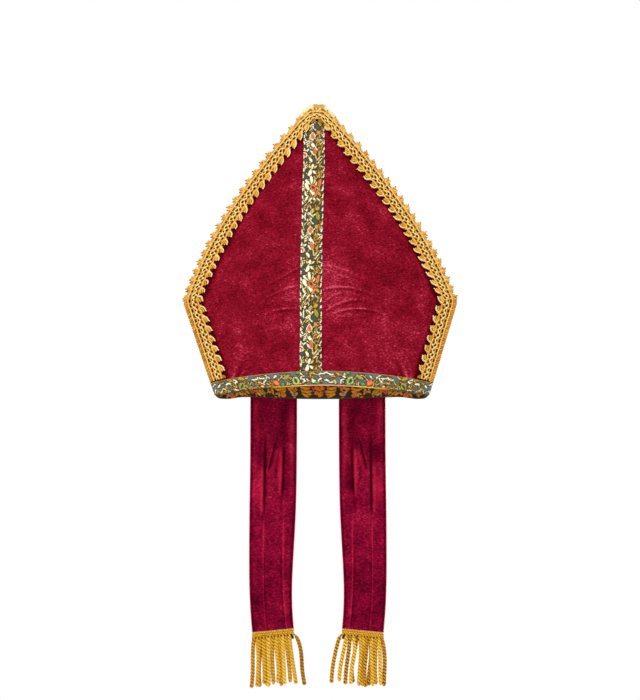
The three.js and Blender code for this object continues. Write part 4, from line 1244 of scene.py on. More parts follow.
def band_side(side):
    """The sections of one side of the hat, their colours, their places round the rim and its length.
    A section runs down the outside, round the fold and up the inside, then back along the hidden side
    that lies on the velvet. Its places are heights on the skin of the hat, each with its own lift."""
    angle = -side * np.pi * (np.arange(BAND_STATIONS) / BAND_STATIONS - 0.5)
    across = np.sin(angle)
    low = rim_rise(across, side) - BAND_UNDER - BAND_WALL + rim_end(across, side)
    top = band_top(across, side, BAND_HEIGHT)
    facing = band_top(across, side, FACING_HEIGHT)
    bow = over_skin(across, low, side, 0.0)
    step = np.linalg.norm(np.diff(bow, axis=0, prepend=bow[:1]), axis=-1)
    around = np.cumsum(step)
    middle = np.interp(BAND_AXIS, *(np.array([bow[:, 0], around])[:, ::int(-side)]))
    outward = np.abs(around - middle)
    repeated = np.mod(outward, BAND_REPEAT)
    right = bow[:, 0] > BAND_AXIS
    chart = repeated + BAND_RIGHT_START * (right & (repeated < BAND_RIGHT_WIDTH))
    under_chart = np.mod(outward + UNDER_SHIFT * right, BAND_REPEAT)
    fold_top = low[:, None] + BAND_FOLD["start"]
    z_out = lerp(top[:, None], fold_top, np.linspace(0, 1, BAND_OUTSIDE))
    z_in = lerp(fold_top, facing[:, None], np.linspace(0, 1, BAND_INSIDE))
    down = top[:, None] - z_out
    face, floats = brocade(np.broadcast_to(chart[:, None], z_out.shape), down / BAND_STRETCH,
                           band_strokes(), "steel", "olive", HALO["band"])
    under, under_floats = brocade(np.broadcast_to(under_chart[:, None], z_in.shape), z_in - low[:, None],
                                  reverse_strokes(), "umber", "umber", HALO["reverse"])
    face[down < BAND_SELVEDGE] = COLOURS["gold"]
    soft = waves(around, BAND_WAVES)[:, None]
    lift_out = TRIM_GAP + BAND_WALL + floats + soft
    lift_in = -PANEL_WALL - TRIM_GAP - BAND_WALL - under_floats + soft
    reach = BAND_WALL + TRIM_GAP + PANEL_WALL / 2
    fold_lift = -PANEL_WALL / 2 + reach * np.cos(BAND_FOLD["angles"])
    fold_z = fold_top - BAND_FOLD["depth"] * np.sin(BAND_FOLD["angles"])
    hidden_lift = np.array([-PANEL_WALL - TRIM_GAP + 0.1, -PANEL_WALL - TRIM_GAP, TRIM_GAP, TRIM_GAP - 0.1])
    hidden_foot = low + BAND_WALL + 0.2
    hidden_z = stacked(facing, hidden_foot, hidden_foot, top)
    lifts = [lift_out, np.broadcast_to(fold_lift, fold_z.shape), lift_in,
             np.broadcast_to(hidden_lift, hidden_z.shape)]
    z = np.concatenate([z_out, fold_z, z_in, hidden_z], axis=1)
    ring = over_skin(across[:, None], z, side, np.concatenate(lifts, axis=1))
    ring[0, :, 1] = 0
    fold = np.repeat(fold_colours(outward, right, side)[:, None], fold_z.shape[1], axis=1)
    hidden = np.broadcast_to(np.array(COLOURS["umber"]), (*hidden_z.shape, 4))
    return ring, np.concatenate([face, fold, under, hidden], axis=1), around, float(around[-1] + step[-1])


def band_part():
    """A loop of closed sections round the rim, the front's from left to right and then the back's."""
    rings, colours, arounds, lengths = zip(*[band_side(side) for side in (FRONT, BACK)])
    ring = np.concatenate(rings)
    run = np.concatenate([arounds[0], lengths[0] + arounds[1]])
    uv = stacked(run[:, None], np.arange(ring.shape[1]) * BAND_GIRTH_STEP)
    quads = ring_quads(*ring.shape[:2], loops=True)
    return Part(ring, quads, uv=uv, colour=np.concatenate(colours)).facing_out()


# Satin fold

GUSSET_STEPS = 90
GUSSET_CAP = 9  # points over the peak, its corners included
# Depths of its section: where the straight sides end and where the valley starts, outside and inside,
# how far the valley's floor rises at its sides, and the floor's own thickness
GUSSET_SIDES = {"outer": 4.0, "inner": 3.0}
VALLEY = {"points": 9, "outer_rise": 2.2, "inner_rise": 2.4, "thickness": 3}
GUSSET_CLEAR = 0.3
GUSSET_NARROWEST = 0.12
GUSSET_WAVES = [(0.16, 2.6), (0.1, 1.1)]
# How far the lip's edge moves in from its place in the solid, by distance along it from the peak
LIP_OFFSETS = {
    "from_peak": (0, 4, 7, 10.5, 14, 20, 28, 42),
    "inward": (-0.6, -1.7, -1.0, 1.2, 0.4, -0.7, -0.5, 2.4),
}
SATIN_HIGHLIGHTS = {"from_peak": (0, 5, 9, 26, 34), "tone": (-0.15, -0.1, 0.25, 0.25, 0)}  # painted highlight, where it is lit


def gusset_part():
    """A valley-shaped section carried along one slope, over the peak and down the other, and moved
    off the slope's edge at right angles to it. It narrows to nothing at the corners, and its lip rises
    to a cap at the peak."""
    z = np.linspace(GUSSET_START, PEAK_HEIGHT, GUSSET_STEPS)
    over = PEAK_HALF_WIDTH * np.linspace(-1, 1, GUSSET_CAP)[1:-1]
    top = stacked(middle_line(PEAK_HEIGHT) + over, PEAK_HEIGHT)
    path = np.concatenate([edge_point(z, -1.0), top, edge_point(z[::-1], 1.0)])
    ways = unit(np.diff(path, axis=0))
    sides = stacked(ways[:, 1], -ways[:, 0])
    mean = unit(np.concatenate([sides[:1], sides[:-1] + sides[1:], sides[-1:]]))
    stretch = np.concatenate([[1.0], np.sum(mean[1:-1] * sides[1:], axis=-1), [1.0]])
    wide, narrow = GUSSET_HALF_WIDTH, GUSSET_HALF_WIDTH - GUSSET_WALL
    valley = np.linspace(-1, 1, VALLEY["points"])
    floor = GUSSET_SINK - VALLEY["thickness"] - VALLEY["inner_rise"] * np.abs(valley) ** 3
    under = GUSSET_SINK - VALLEY["outer_rise"] * np.abs(valley) ** 3
    outer, inner = GUSSET_SIDES["outer"], GUSSET_SIDES["inner"]
    section = [(-wide, -GUSSET_LIP), (-wide, outer)] + list(zip(wide * valley, under))
    section += [(wide, outer), (wide, -GUSSET_LIP), (narrow, -GUSSET_LIP), (narrow, inner)]
    section += list(zip(narrow * valley[::-1], floor[::-1])) + [(-narrow, inner), (-narrow, -GUSSET_LIP)]
    section = np.array(section)[None]
    room = lerp(SEAM_GAP, SLOPE_GAP - PANEL_WALL, openness(path[:, 1])) - GUSSET_CLEAR
    narrowing = np.clip(room / GUSSET_HALF_WIDTH, GUSSET_NARROWEST, 1)[:, None]
    sink = section[..., 1] * np.where(section[..., 1] > 0, narrowing, 1)
    run = np.concatenate([[0], np.cumsum(np.linalg.norm(np.diff(path, axis=0), axis=-1))])
    from_peak = np.abs(run - run[-1] / 2)
    lip = np.interp(from_peak, LIP_OFFSETS["from_peak"], LIP_OFFSETS["inward"])
    # painted highlights either side of the peak, and a little painted shade at it
    tone = np.interp(from_peak, SATIN_HIGHLIGHTS["from_peak"], SATIN_HIGHLIGHTS["tone"])
    sink = sink + lip[:, None] * (sink < 0)
    moved = path[:, None] + mean[:, None] * (sink / stretch[:, None])[..., None]
    height = moved[..., 1] + waves(run, GUSSET_WAVES)[:, None] * (section[..., 1] < 0)
    points = stacked(moved[..., 0], section[..., 0] * narrowing, height)
    count, size = points.shape[:2]
    tone = np.append(np.repeat(tone, size), [0, 0])
    flat = np.concatenate([points.reshape(-1, 3), points[:1].mean(axis=1), points[-1:].mean(axis=1)])
    uv = np.concatenate([stacked(run[:, None], sink).reshape(-1, 2), [[0, 0], [run[-1], 0]]])
    return Part(flat, ring_quads(count, size), cap_triangles(count, size), uv=uv, tone=tone).facing_out()


# Lappets

# Folds of a lappet, measured from its outer edge and down from the rim: where it starts and ends
# across, where it starts and ends in height, depth, width, and the share that it keeps at its ends
LAPPET_FOLDS = [
    (0.32, 0.315, 34, 150, -4.6, 1.1),
    (0.255, 0.27, 70, 150, 2, 2.2),
    (0.725, 0.70, 50, 122, -4, 1.1),
    (0.66, 0.655, 50, 124, 2.4, 2),
    (0.69, 0.665, 118, 140, -1.8, 1.2),
    (0.57, 0.37, 44, 92, -3, 1.2),
    (0.50, 0.34, 52, 96, 1.5, 1.5),
    (0.60, 0.47, 58, 88, 1.3, 1.5),
    (0.55, 0.56, 80, 102, -1.2, 1.5),
    (0.18, 0.12, 20, 92, 1, 2.4),
    (0.86, 0.90, 20, 110, 0.9, 2.6),
]
# Lines pressed along the lower part of the lappet: place across at both ends, from which drop, height
LAPPET_PRESSED = [
    (0.31, 0.34, 140, 1.1),
    (0.335, 0.365, 175, -0.7),
    (0.73, 0.83, 140, 1.1),
    (0.705, 0.805, 175, -0.7),
]
# painted highlight along the raised pressed lines, and painted shade along the sunken ones
PRESSED_SHADE = 0.45
PRESSED = {"width": 0.9, "rises_in": 25}
FOLD_SHADE = 0.18  # painted light and shade: how much a millimetre of fold lightens or darkens the pile
FOLD_FADE = 0.22  # share of a fold's height in which it rises, and in which it dies out
# The two broad creases and the crowns beside them: place across, width, height as a share; and their
# depth by the drop
CREASES = [(0.32, 0.085, 0.9), (0.73, 0.085, 0.8), (0.16, 0.09, -0.35), (0.87, 0.09, -0.3)]
CREASE_DEPTHS = {
    "drop": (-12, -4, 8, 30, 55, 90, 120, 150, 190, 235, 288),
    "depth": (0, 0, 0.6, 2.4, 4, 4.4, 3.6, 1.8, 1.2, 1.5, 1),
}
CREASE_SHARE = -0.62
LAPPET_RIPPLE = {"height": 0.3, "seeds": {"left": 11, "right": 12}, "waves": (8, 30, 80)}
EDGE_ROLL = {"height": 0.7, "width": 1.6}
SERRATION = {"height": 0.45, "pitch": 2.6, "width": 1.0}  # the cut edge, caught up by its stitches
EDGE_LIGHT_AND_SHADE = [(0, 0.7, 1.0), (2.2, 1.1, -0.8)]  # painted light along the rolled edge and painted shade inside it, by distance from the edge: place, width, tone
# Lighter and darker patches of pile: place across, drop, half width and half height in mm, and strength
LAPPET_PATCHES = [
    (0.18, 68, 6, 13, -0.5),
    (0.71, 26, 5, 26, -0.5),
    (0.79, 104, 5, 9, -0.4),
    (0.14, 146, 7, 8, -0.3),
    (0.11, 10, 4, 14, 0.4),
    (0.89, 20, 5, 16, 0.4),
    (0.13, 110, 8, 17, 0.3),
    (0.64, 84, 4, 16, 0.36),
    (0.42, 88, 4, 6, 0.2),
    (0.85, 258, 3, 26, 0.3),
    (0.13, 255, 4, 12, -0.4),
    (0.76, 278, 4, 6, -0.4),
    (0.5, 245, 30, 62, -0.32),
]
LAPPET_GRID = (250, 56)


def lappet_width(drop):
    return lerp(LAPPET_WIDTH["top"], LAPPET_WIDTH["bottom"], smoothstep(drop, LAPPET_FLATTENS, LAPPET_LENGTH))


def lappet_relief(across, drop):
    """Two broad creases as in the solid, with narrow folds and pressed lines on them; and the tone, which
    is painted light and shade on the folds and pressed lines, with the lighter and darker patches."""
    deep = np.interp(drop, CREASE_DEPTHS["drop"], CREASE_DEPTHS["depth"])
    broad = CREASE_SHARE * deep * sum(high * hump(across - place, wide) for place, wide, high in CREASES)
    relief = 0.0
    for low, to_low, start, end, height, width in LAPPET_FOLDS:
        share = (drop - start) / (end - start)
        line = lerp(low, to_low, np.clip(share, 0, 1))
        fade = smoothstep(share, 0, FOLD_FADE) * (1 - smoothstep(share, 1 - FOLD_FADE, 1))
        relief = relief + height * fade * hump((across - line) * lappet_width(drop), width)
    # painted light and shade on the folds
    tone = FOLD_SHADE * relief
    for place, to_place, start, height in LAPPET_PRESSED:
        fade = smoothstep(drop, start, start + PRESSED["rises_in"])
        line = lerp(place, to_place, (drop - start) / (LAPPET_LENGTH - start))
        ridge = height * fade * hump((across - line) * lappet_width(drop), PRESSED["width"])
        relief = relief + ridge
        # painted highlight and shade along the pressed lines
        tone = tone + PRESSED_SHADE * ridge
    for place, middle, wide, high, strength in LAPPET_PATCHES:
        tone = tone + strength * hump((across - place) * lappet_width(drop), wide) * hump(drop - middle, high)
    return broad + relief, tone


def lappet_face(side_name, across, drop, toward_front, lift):
    """A point of a lappet: x = its middle + outward * (sway + (0.5 - across) * width), and y goes from
    the binding's bow to the place of the lappet's middle. across runs from its outer edge, drop is
    under the rim, and toward_front moves it to the front."""
    centre, outward = LAPPETS[side_name]
    sway = LAPPET_SWAY * np.sin(np.pi * (np.maximum(drop, 0) / LAPPET_LENGTH) ** SWAY_POWER)
    x = centre + outward * (sway + (0.5 - across) * lappet_width(drop))
    slant = LAPPET_SLANT * (0.5 - across) * smoothstep(drop, LAPPET_FLATTENS, LAPPET_LENGTH)
    on_band = BAND_WALL + 2 * TRIM_GAP + lift
    bowed = over_panel(x, np.maximum(-drop, 0.0), BACK, on_band)
    middle = over_panel(np.full_like(x, centre), np.zeros_like(x), BACK, on_band)
    y = lerp(bowed[..., 1], middle[..., 1], smoothstep(drop, 0, LAPPET_FLATTENS)) - toward_front
    return stacked(x, y, -drop - slant)


def lappet_part(side_name):
    """Two faces moved together by the relief, and rolled together and serrated along their edges. The
    tone is painted light and shade on the folds, painted light along the rolled edge and painted shade
    just inside it."""
    drop, across = grid(*LAPPET_GRID, (-LAPPET_TOP, LAPPET_LENGTH))
    flat = lappet_face(side_name, across, drop, 0.0, 0.0)
    relief, tone = lappet_relief(across, drop)
    uneven = ripple(flat[..., 0], flat[..., 2], LAPPET_RIPPLE["seeds"][side_name], *LAPPET_RIPPLE["waves"])
    relief = relief + LAPPET_RIPPLE["height"] * uneven * smoothstep(drop, 10, 60)
    relief = relief * smoothstep(drop, 0, 24)
    edge = np.minimum(across, 1 - across) * lappet_width(drop)
    roll = EDGE_ROLL["height"] * hump(edge, EDGE_ROLL["width"])
    front = lappet_face(side_name, across, drop, relief - roll, 0.0)
    back = lappet_face(side_name, across, drop, relief + roll, LAPPET_WALL)
    teeth = np.sin(2 * np.pi * drop / SERRATION["pitch"]) * hump(edge, SERRATION["width"])
    outward = LAPPETS[side_name][1]
    for face in (front, back):
        face[..., 0] += outward * np.where(across < 0.5, 1, -1) * SERRATION["height"] * teeth
    # painted light along the rolled edge and painted shade just inside it
    edge_light = sum(height * hump(edge - place, width) for place, width, height in EDGE_LIGHT_AND_SHADE)
    tone = tone * smoothstep(edge, 0, 3) + edge_light
    return wall(front, back, uv=stacked(across * lappet_width(drop), drop), tone=tone)


# Fringe

STRAND_STEPS = 92
STRAND_TURN = 7  # points round its closed end
# painted highlight on a ply's crest, and painted shade under it
FRINGE_CREST_SHADING = 0.62
FRINGE_SEEDS = {"left": 21, "right": 22}
HEAD_FOOT = 4.8  # height of the gaps under the woven head
HEAD_GRID = (44, 170)
HEAD_LOOPS = {"across": 3.1, "slant": 5.2, "down": 2.67}
# slanting gaps at the head's foot, painted as shade: pitch, slant and tone
HEAD_GAPS = {"pitch": 4.0, "slant": 0.5, "tone": -1.8}
STRAND_SWAY = (1.1, 0.7)  # mm, of a half wave and of a whole one down a strand
STRAND_START = 0.85  # how far down the head the strands start, as a share of its height
# The outermost strands leave their place early: between these places across, to this power of the fall
EARLY = {"from": 0.86, "to": 0.95, "power": 0.42}
LAYER = 1.2  # how far to the back and the front the strands lie by turns
STRAND_GROWS = (0.0, 0.1)  # shares of the fall between which the plies swell to their full size
# What varies from strand to strand: least length as a share, stray of the end along X and Y, tone
STRAND_VARY = {"shortest": 0.93, "x": 0.9, "y": 0.5, "tone": 0.16}
# tone of the strands, and painted shade on those that lie behind the others
STRAND_TONE = {"front": 0.24, "shaded_behind": -0.3}
# In radii of a ply: how far apart the two lie, at the start and below; and their radius at the start
PLY = {"offset": 0.92, "offset_start": 0.3, "radius_start": 0.55, "dip": 0.9}
CREST_LEAN = {"y": -0.35, "z": -0.3}  # the painted highlight on a ply leans to the front and down


def fringe_edge(side_name, across, below):
    """A point straight under the lappet's lower edge, half way through its wall."""
    across, below = np.broadcast_arrays(np.asarray(across, float), np.asarray(below, float))
    drop = np.full(across.shape, LAPPET_LENGTH)
    point = lappet_face(side_name, across, drop, 0.0, LAPPET_WALL / 2)
    point[..., 2] -= below
    return point


def head_part(side_name):
    """The woven head: a flat wall whose relief is rows of crossed loops, |sin| times |sin|, painted
    paler on the loops' crests, with painted shade in slanting gaps along its foot, between the strands."""
    height = FRINGE_HEAD["height"] + HEAD_FOOT
    below, across = grid(*HEAD_GRID, (FRINGE_GAP, FRINGE_GAP + height))
    run = across * LAPPET_WIDTH["bottom"]
    slanted = np.abs(np.sin(np.pi * (run / HEAD_LOOPS["across"] + below / HEAD_LOOPS["slant"])))
    loops = slanted * np.abs(np.sin(np.pi * (below - FRINGE_GAP) / HEAD_LOOPS["down"]))
    foot = smoothstep(below, height - HEAD_FOOT - 1.5, height - HEAD_FOOT)
    half = FRINGE_HEAD["thickness"] / 2 * lerp(0.55 + 0.45 * loops, 0.3, foot)
    points = fringe_edge(side_name, across, below)
    front = points.copy()
    back = points.copy()
    front[..., 1] -= half
    back[..., 1] += half
    gaps = np.sin(2 * np.pi * (run - HEAD_GAPS["slant"] * below) / HEAD_GAPS["pitch"]) > -0.4
    # painted light on the loops' crests, painted shade in the gaps at the foot
    tone = lerp(0.05 + 0.75 * loops, np.where(gaps, HEAD_GAPS["tone"], 0.2), foot)
    return wall(front, back, uv=stacked(run, below), tone=tone)


def strand_paths(side_name, settings):
    """Two plies a strand: the path runs down one ply, round the closed end and up the other. A ply is
    the strand's line + offset * (cos phase * X + sin phase * Y), with phase growing down the strand."""
    count = settings.strands
    dice = np.random.default_rng(FRINGE_SEEDS[side_name])
    across = (np.arange(count) + 0.5) / count
    length = FRINGE_LENGTH * dice.uniform(STRAND_VARY["shortest"], 1.0, count)
    _, outward = LAPPETS[side_name]
    spread = outward * np.interp(across, STRAND_SPREAD["across"], STRAND_SPREAD["outward"])
    spread = spread + dice.normal(0, STRAND_VARY["x"], count)
    ply = settings.ply_radius / MM
    turn = settings.ply_turn / MM
    start = FRINGE_HEAD["height"] * STRAND_START
    leg = np.linspace(0, 1, STRAND_STEPS)
    bend = np.radians(np.linspace(15, 165, STRAND_TURN))
    down = np.concatenate([leg, np.ones(STRAND_TURN), leg[::-1]])
    sign = np.concatenate([np.ones(STRAND_STEPS), np.cos(bend), -np.ones(STRAND_STEPS)])
    dip = np.concatenate([np.zeros(STRAND_STEPS), np.sin(bend), np.zeros(STRAND_STEPS)])
    below = start + (length[:, None] - ply - start) * down
    fall = (below - start) / (FRINGE_LENGTH - start)
    line = fringe_edge(side_name, np.repeat(across[:, None], below.shape[1], axis=1), below)
    half_wave = dice.normal(0, STRAND_SWAY[0], (count, 1)) * np.sin(np.pi * fall)
    sway = half_wave + dice.normal(0, STRAND_SWAY[1], (count, 1)) * np.sin(2 * np.pi * fall)
    early = lerp(1.0, EARLY["power"], smoothstep(across, EARLY["from"], EARLY["to"]))[:, None]
    line[..., 0] += spread[:, None] * fall ** early + sway
    even = np.arange(count) % 2 == 0
    depth_shift = np.where(even, LAYER, -LAYER)[:, None] * smoothstep(fall, 0.05, 0.4)
    line[..., 1] += depth_shift + dice.normal(0, STRAND_VARY["y"], (count, 1)) * fall
    phase = 2 * np.pi * below / turn + dice.uniform(0, 2 * np.pi, (count, 1))
    grown = smoothstep(fall, *STRAND_GROWS)
    offset = ply * PLY["offset"] * lerp(PLY["offset_start"], 1.0, grown) * sign
    path = line + 0
    path[..., 0] += offset * np.cos(phase)
    path[..., 1] += offset * np.sin(phase)
    path[..., 2] -= dip * ply * PLY["dip"]
    radius = ply * lerp(PLY["radius_start"], 1.0, grown)
    outside = stacked(sign * np.cos(phase), sign * np.sin(phase) + CREST_LEAN["y"], CREST_LEAN["z"] * dip)
    # painted shade on the strands that lie behind
    tone = STRAND_TONE["front"] + dice.normal(0, STRAND_VARY["tone"], count) + STRAND_TONE["shaded_behind"] * even
    return path, radius, outside, tone


def fringe_parts(side_name, settings):
    """The woven head and the twisted strands under it."""
    path, radius, outside, tone = strand_paths(side_name, settings)
    return [head_part(side_name), yarns(path, radius, outside, tone, FRINGE_CREST_SHADING)]


# Materials


def node(tree, kind, values=None, **settings):
    """Adds a node, sets its own properties, and gives its inputs a value or another node's output."""
    made = tree.nodes.new(kind)
    for name, value in settings.items():
        setattr(made, name, value)
    for key, value in (values or {}).items():
        if isinstance(value, bpy.types.NodeSocket):
            tree.links.new(value, made.inputs[key])
        else:
            made.inputs[key].default_value = value
    return made


def start_material(name):
    material = bpy.data.materials.new(name)
    material.use_nodes = True
    tree = material.node_tree
    tree.nodes.clear()
    return material, tree


def finish_material(tree, values):
    shader = node(tree, "ShaderNodeBsdfPrincipled", values)
    node(tree, "ShaderNodeOutputMaterial", {"Surface": shader.outputs[0]})


def ramp(tree, factor, *stops):
    """A colour ramp, from its stops as places and colours."""
    made = node(tree, "ShaderNodeValToRGB", {"Fac": factor})
    made.color_ramp.elements[0].position, made.color_ramp.elements[0].color = stops[0]
    made.color_ramp.elements[1].position, made.color_ramp.elements[1].color = stops[-1]
    for place, colour in stops[1:-1]:
        made.color_ramp.elements.new(place).color = colour
    return made.outputs["Color"]


def object_place(tree):
    return node(tree, "ShaderNodeTexCoord").outputs["Object"]


def cloth_place(tree):
    """The piece's own place in its cloth, in millimetres."""
    return node(tree, "ShaderNodeUVMap", uv_map="Cloth").outputs[0]


def tone_of(tree):
    return node(tree, "ShaderNodeAttribute", attribute_name="tone").outputs["Fac"]


def noise(tree, place, scale, detail=2.0, **more):
    values = {"Vector": place, "Scale": scale, "Detail": detail, **more}
    return node(tree, "ShaderNodeTexNoise", values).outputs["Fac"]


def slanting_bands(tree, place, scale, values):
    values = {"Vector": place, "Scale": scale, **values}
    return node(tree, "ShaderNodeTexWave", values, wave_type="BANDS",
                bands_direction="DIAGONAL").outputs["Fac"]


def calculated(tree, operation, *terms):
    return node(tree, "ShaderNodeMath", dict(enumerate(terms)), operation=operation).outputs[0]


def mapped(tree, value, low, high, to_low=0.0, to_high=1.0):
    values = {0: value, 1: low, 2: high, 3: to_low, 4: to_high}
    return node(tree, "ShaderNodeMapRange", values).outputs[0]


def bumps(tree, height, strength, distance):
    values = {"Height": height, "Strength": strength, "Distance": distance}
    return node(tree, "ShaderNodeBump", values).outputs[0]


def knit_velvet(name, colours, rim=None):
    """Polyester pile velvet, warp knitted: short upright pile on a knit ground, so the eye sees short
    dashes of lit pile along the rows and soft patches where the nap lies another way. The real pile is
    under 1 mm; its dashes are 1.4 mm high and 2.6 mm long, as they show. The mesh's tone is painted
    light and shade: it lightens the crests of folds and darkens their hollows, and above 0 it shows the
    rim colour, a painted light, if given."""
    material, tree = start_material(name)
    place = object_place(tree)
    rows = node(tree, "ShaderNodeMapping", {"Vector": place, "Scale": (380.0, 380.0, 700.0)}).outputs[0]
    dashes = noise(tree, rows, 1.0, Roughness=0.6, Distortion=0.6)
    patches = noise(tree, place, 44.0, 4.0)
    tone = tone_of(tree)
    nap = calculated(tree, "MULTIPLY_ADD", patches, 0.5, dashes)
    # the tone's painted light and shade moves the pile along the ramp
    lit = mapped(tree, calculated(tree, "MULTIPLY_ADD", tone, 0.34, nap), 0.46, 1.07)
    deep, pile, light, glint = colours
    colour = ramp(tree, lit, (0.08, deep), (0.5, pile), (0.76, light), (0.98, glint))
    if rim is not None:
        # painted light of the edges, where the tone is above 0
        colour = node(tree, "ShaderNodeMix", {0: tone, 6: colour, 7: rim}, data_type="RGBA",
                      clamp_factor=True).outputs[2]
    finish_material(tree, {
        "Base Color": colour, "Roughness": 0.85, "Normal": bumps(tree, nap, 0.4, 0.0006),
        "Sheen Weight": 0.04, "Sheen Roughness": 0.4, "Sheen Tint": light, "Specular IOR Level": 0.03,
    })
    return material


def jacquard(name):
    """Rayon and polyester jacquard ribbon: satin floats on a rib ground, so the motifs are a little
    glossier than the ground, with fine ribs across. The ribs are 0.9 mm apart, three times the real
    spacing, so that they show."""
    material, tree = start_material(name)
    weave = node(tree, "ShaderNodeVertexColor", layer_name="weave").outputs["Color"]
    place = cloth_place(tree)
    ribs = slanting_bands(tree, place, 0.35, {"Distortion": 1.2, "Detail": 2.0, "Detail Scale": 2.0})
    shade = mapped(tree, noise(tree, place, 1.4), 0.3, 0.7, 0.74, 1.42)
    colour = node(tree, "ShaderNodeVectorMath", {0: weave, 1: shade}, operation="MULTIPLY").outputs[0]
    finish_material(tree, {
        "Base Color": colour, "Roughness": 0.5, "Normal": bumps(tree, ribs, 0.35, 0.0004),
        "Specular IOR Level": 0.25,
    })
    return material


def twisted_yarn(name, colours, twist):
    """Bright rayon yarn, twisted: slanting plies are painted as catching the light one by one, with
    painted shade, deep orange, in the hollows and painted highlights, pale, on the crests. The slant
    repeats every few millimetres, as the real plies do."""
    material, tree = start_material(name)
    plies = slanting_bands(tree, cloth_place(tree), twist, {"Distortion": 0.6, "Detail": 1.0})
    worn = calculated(tree, "MULTIPLY_ADD", noise(tree, object_place(tree), 420.0), 0.9, -0.45)
    lit = calculated(tree, "MULTIPLY_ADD", plies, 0.2, worn)
    lit = mapped(tree, calculated(tree, "ADD", lit, tone_of(tree)), -0.3, 1.3)
    colour = ramp(tree, lit, *zip((0.0, 0.2, 0.48, 0.74, 0.95), colours))
    finish_material(tree, {
        "Base Color": colour, "Roughness": 0.45, "Normal": bumps(tree, plies, 0.5, 0.0005),
        "Specular IOR Level": 0.16,
    })
    return material


def satin(name, colours):
    """Acetate satin, woven with long floats: smooth and glossy, with soft streaks along the strip, and
    painted highlights and shade from the mesh's tone.
    """
    material, tree = start_material(name)
    streaks = noise(tree, object_place(tree), 90.0)
    lit = calculated(tree, "ADD", streaks, tone_of(tree))
    finish_material(tree, {
        "Base Color": ramp(tree, lit, *zip((0.4, 0.66), colours)), "Roughness": 0.3,
        "Normal": bumps(tree, streaks, 0.2, 0.0006), "Specular IOR Level": 0.5,
    })
    return material


def matt_paint(name, colour):
    """Flat studio paint: even, with only a trace of unevenness."""
    material, tree = start_material(name)
    grain = noise(tree, object_place(tree), 3.0)
    pale = tuple(min(c * 1.02, 1.0) for c in colour)
    finish_material(tree, {"Base Color": ramp(tree, grain, (0.3, colour), (0.7, pale)), "Roughness": 0.9})
    return material


# What a user would change


def colour_property(name, description, code):
    return FloatVectorProperty(name=name, description=description, subtype="COLOR", size=4, min=0, max=1,
                               default=linear(code))


class MitreVelvet(bpy.types.PropertyGroup):
    deep: colour_property("Deep pile", "Colour between the lit pile", "#4c000c")
    pile: colour_property("Pile", "Main colour of the velvet", "#850a20")
    light: colour_property("Lit pile", "Colour of the lit pile", "#a01a34")
    glint: colour_property("Glint", "Brightest dashes of pile", "#cc4e64")


# rim is the painted light along the edges and on the lit folds and patches
class MitreLappets(bpy.types.PropertyGroup):
    deep: colour_property("Deep pile", "Colour between the lit pile", "#4a0018")
    pile: colour_property("Pile", "Main colour of the lappets", "#88062e")
    light: colour_property("Lit pile", "Colour of the lit pile", "#a8183c")
    glint: colour_property("Glint", "Brightest dashes of pile", "#c83c5e")
    rim: colour_property("Edges", "Lit pile along the edges", "#d01c40")


# shade and deep are the painted shade on the yarns' undersides and in the ply hollows, pale and white the
# painted highlights on their crests, beside each stitch's own paleness
class MitreLace(bpy.types.PropertyGroup):
    shade: colour_property("Shade", "Darkest yarn of the lace", "#4a2406")
    deep: colour_property("Hollows", "Yarn in the hollows of the lace", "#9c5e0a")
    yarn: colour_property("Yarn", "Main colour of the lace", "#d88e18")
    pale: colour_property("Crests", "Yarn on the crests of the lace", "#f5be50")
    white: colour_property("Highlights", "Palest yarn of the lace", "#ffeca2")


class MitreTrim(bpy.types.PropertyGroup):
    satin_deep: colour_property("Satin shade", "Shaded satin of the fold", "#d4a43c")
    satin_pale: colour_property("Satin", "Lit satin of the fold", "#fdecb4")


# shade and deep are the painted shade in the ply hollows, on the plies' undersides and in the head's gaps,
# pale and white the painted highlights on their crests
class MitreFringe(bpy.types.PropertyGroup):
    shade: colour_property("Shade", "Darkest yarn of the fringe", "#2a1602")
    deep: colour_property("Hollows", "Yarn in the hollows of the fringe", "#8e580a")
    yarn: colour_property("Yarn", "Main colour of the fringe", "#d6981c")
    pale: colour_property("Crests", "Yarn on the crests of the fringe", "#f0c038")
    white: colour_property("Highlights", "Palest yarn of the fringe", "#ffde6c")
    strands: IntProperty(name="Strands", description="Bullion strands across a lappet", default=13,
                         min=6, max=20)
    ply_radius: FloatProperty(name="Ply radius", description="Radius of each of a strand's two plies",
                              default=1.5 * MM, min=0.5 * MM, max=2 * MM, unit="LENGTH", precision=5)
    ply_turn: FloatProperty(name="Turn", description="Length in which the plies make one turn",
                            default=8.0 * MM, min=4 * MM, max=30 * MM, unit="LENGTH", precision=5)


class MitreStage(bpy.types.PropertyGroup):
    floor: colour_property("Floor", "Colour of the floor", "#e9e8e6")
    surround: colour_property("Surround", "Colour of the light all round", "#ffffff")
    floor_height: FloatProperty(name="Floor height", description="Height of the floor under the rim",
                                default=-0.80, max=-0.5, unit="LENGTH")
    distance: FloatProperty(name="Camera distance", description="From the camera to the hat", default=3.2,
                            min=1, unit="LENGTH")
    pitch: FloatProperty(name="Camera pitch", description="How steeply the camera looks up",
                         default=math.radians(11.5), min=0, max=0.5, subtype="ANGLE")
    view_height: FloatProperty(name="View height", description="Height of the view at the hat",
                               default=0.8792, min=0.1, unit="LENGTH")


GROUPS = {
    "mitre_velvet": MitreVelvet,
    "mitre_lappets": MitreLappets,
    "mitre_lace": MitreLace,
    "mitre_trim": MitreTrim,
    "mitre_fringe": MitreFringe,
    "mitre_stage": MitreStage,
}


VELVET_COLOURS = ("deep", "pile", "light", "glint")
YARN_COLOURS = ("shade", "deep", "yarn", "pale", "white")


def chosen_colours(group, names):
    return [tuple(getattr(group, name)) for name in names]


# Stage

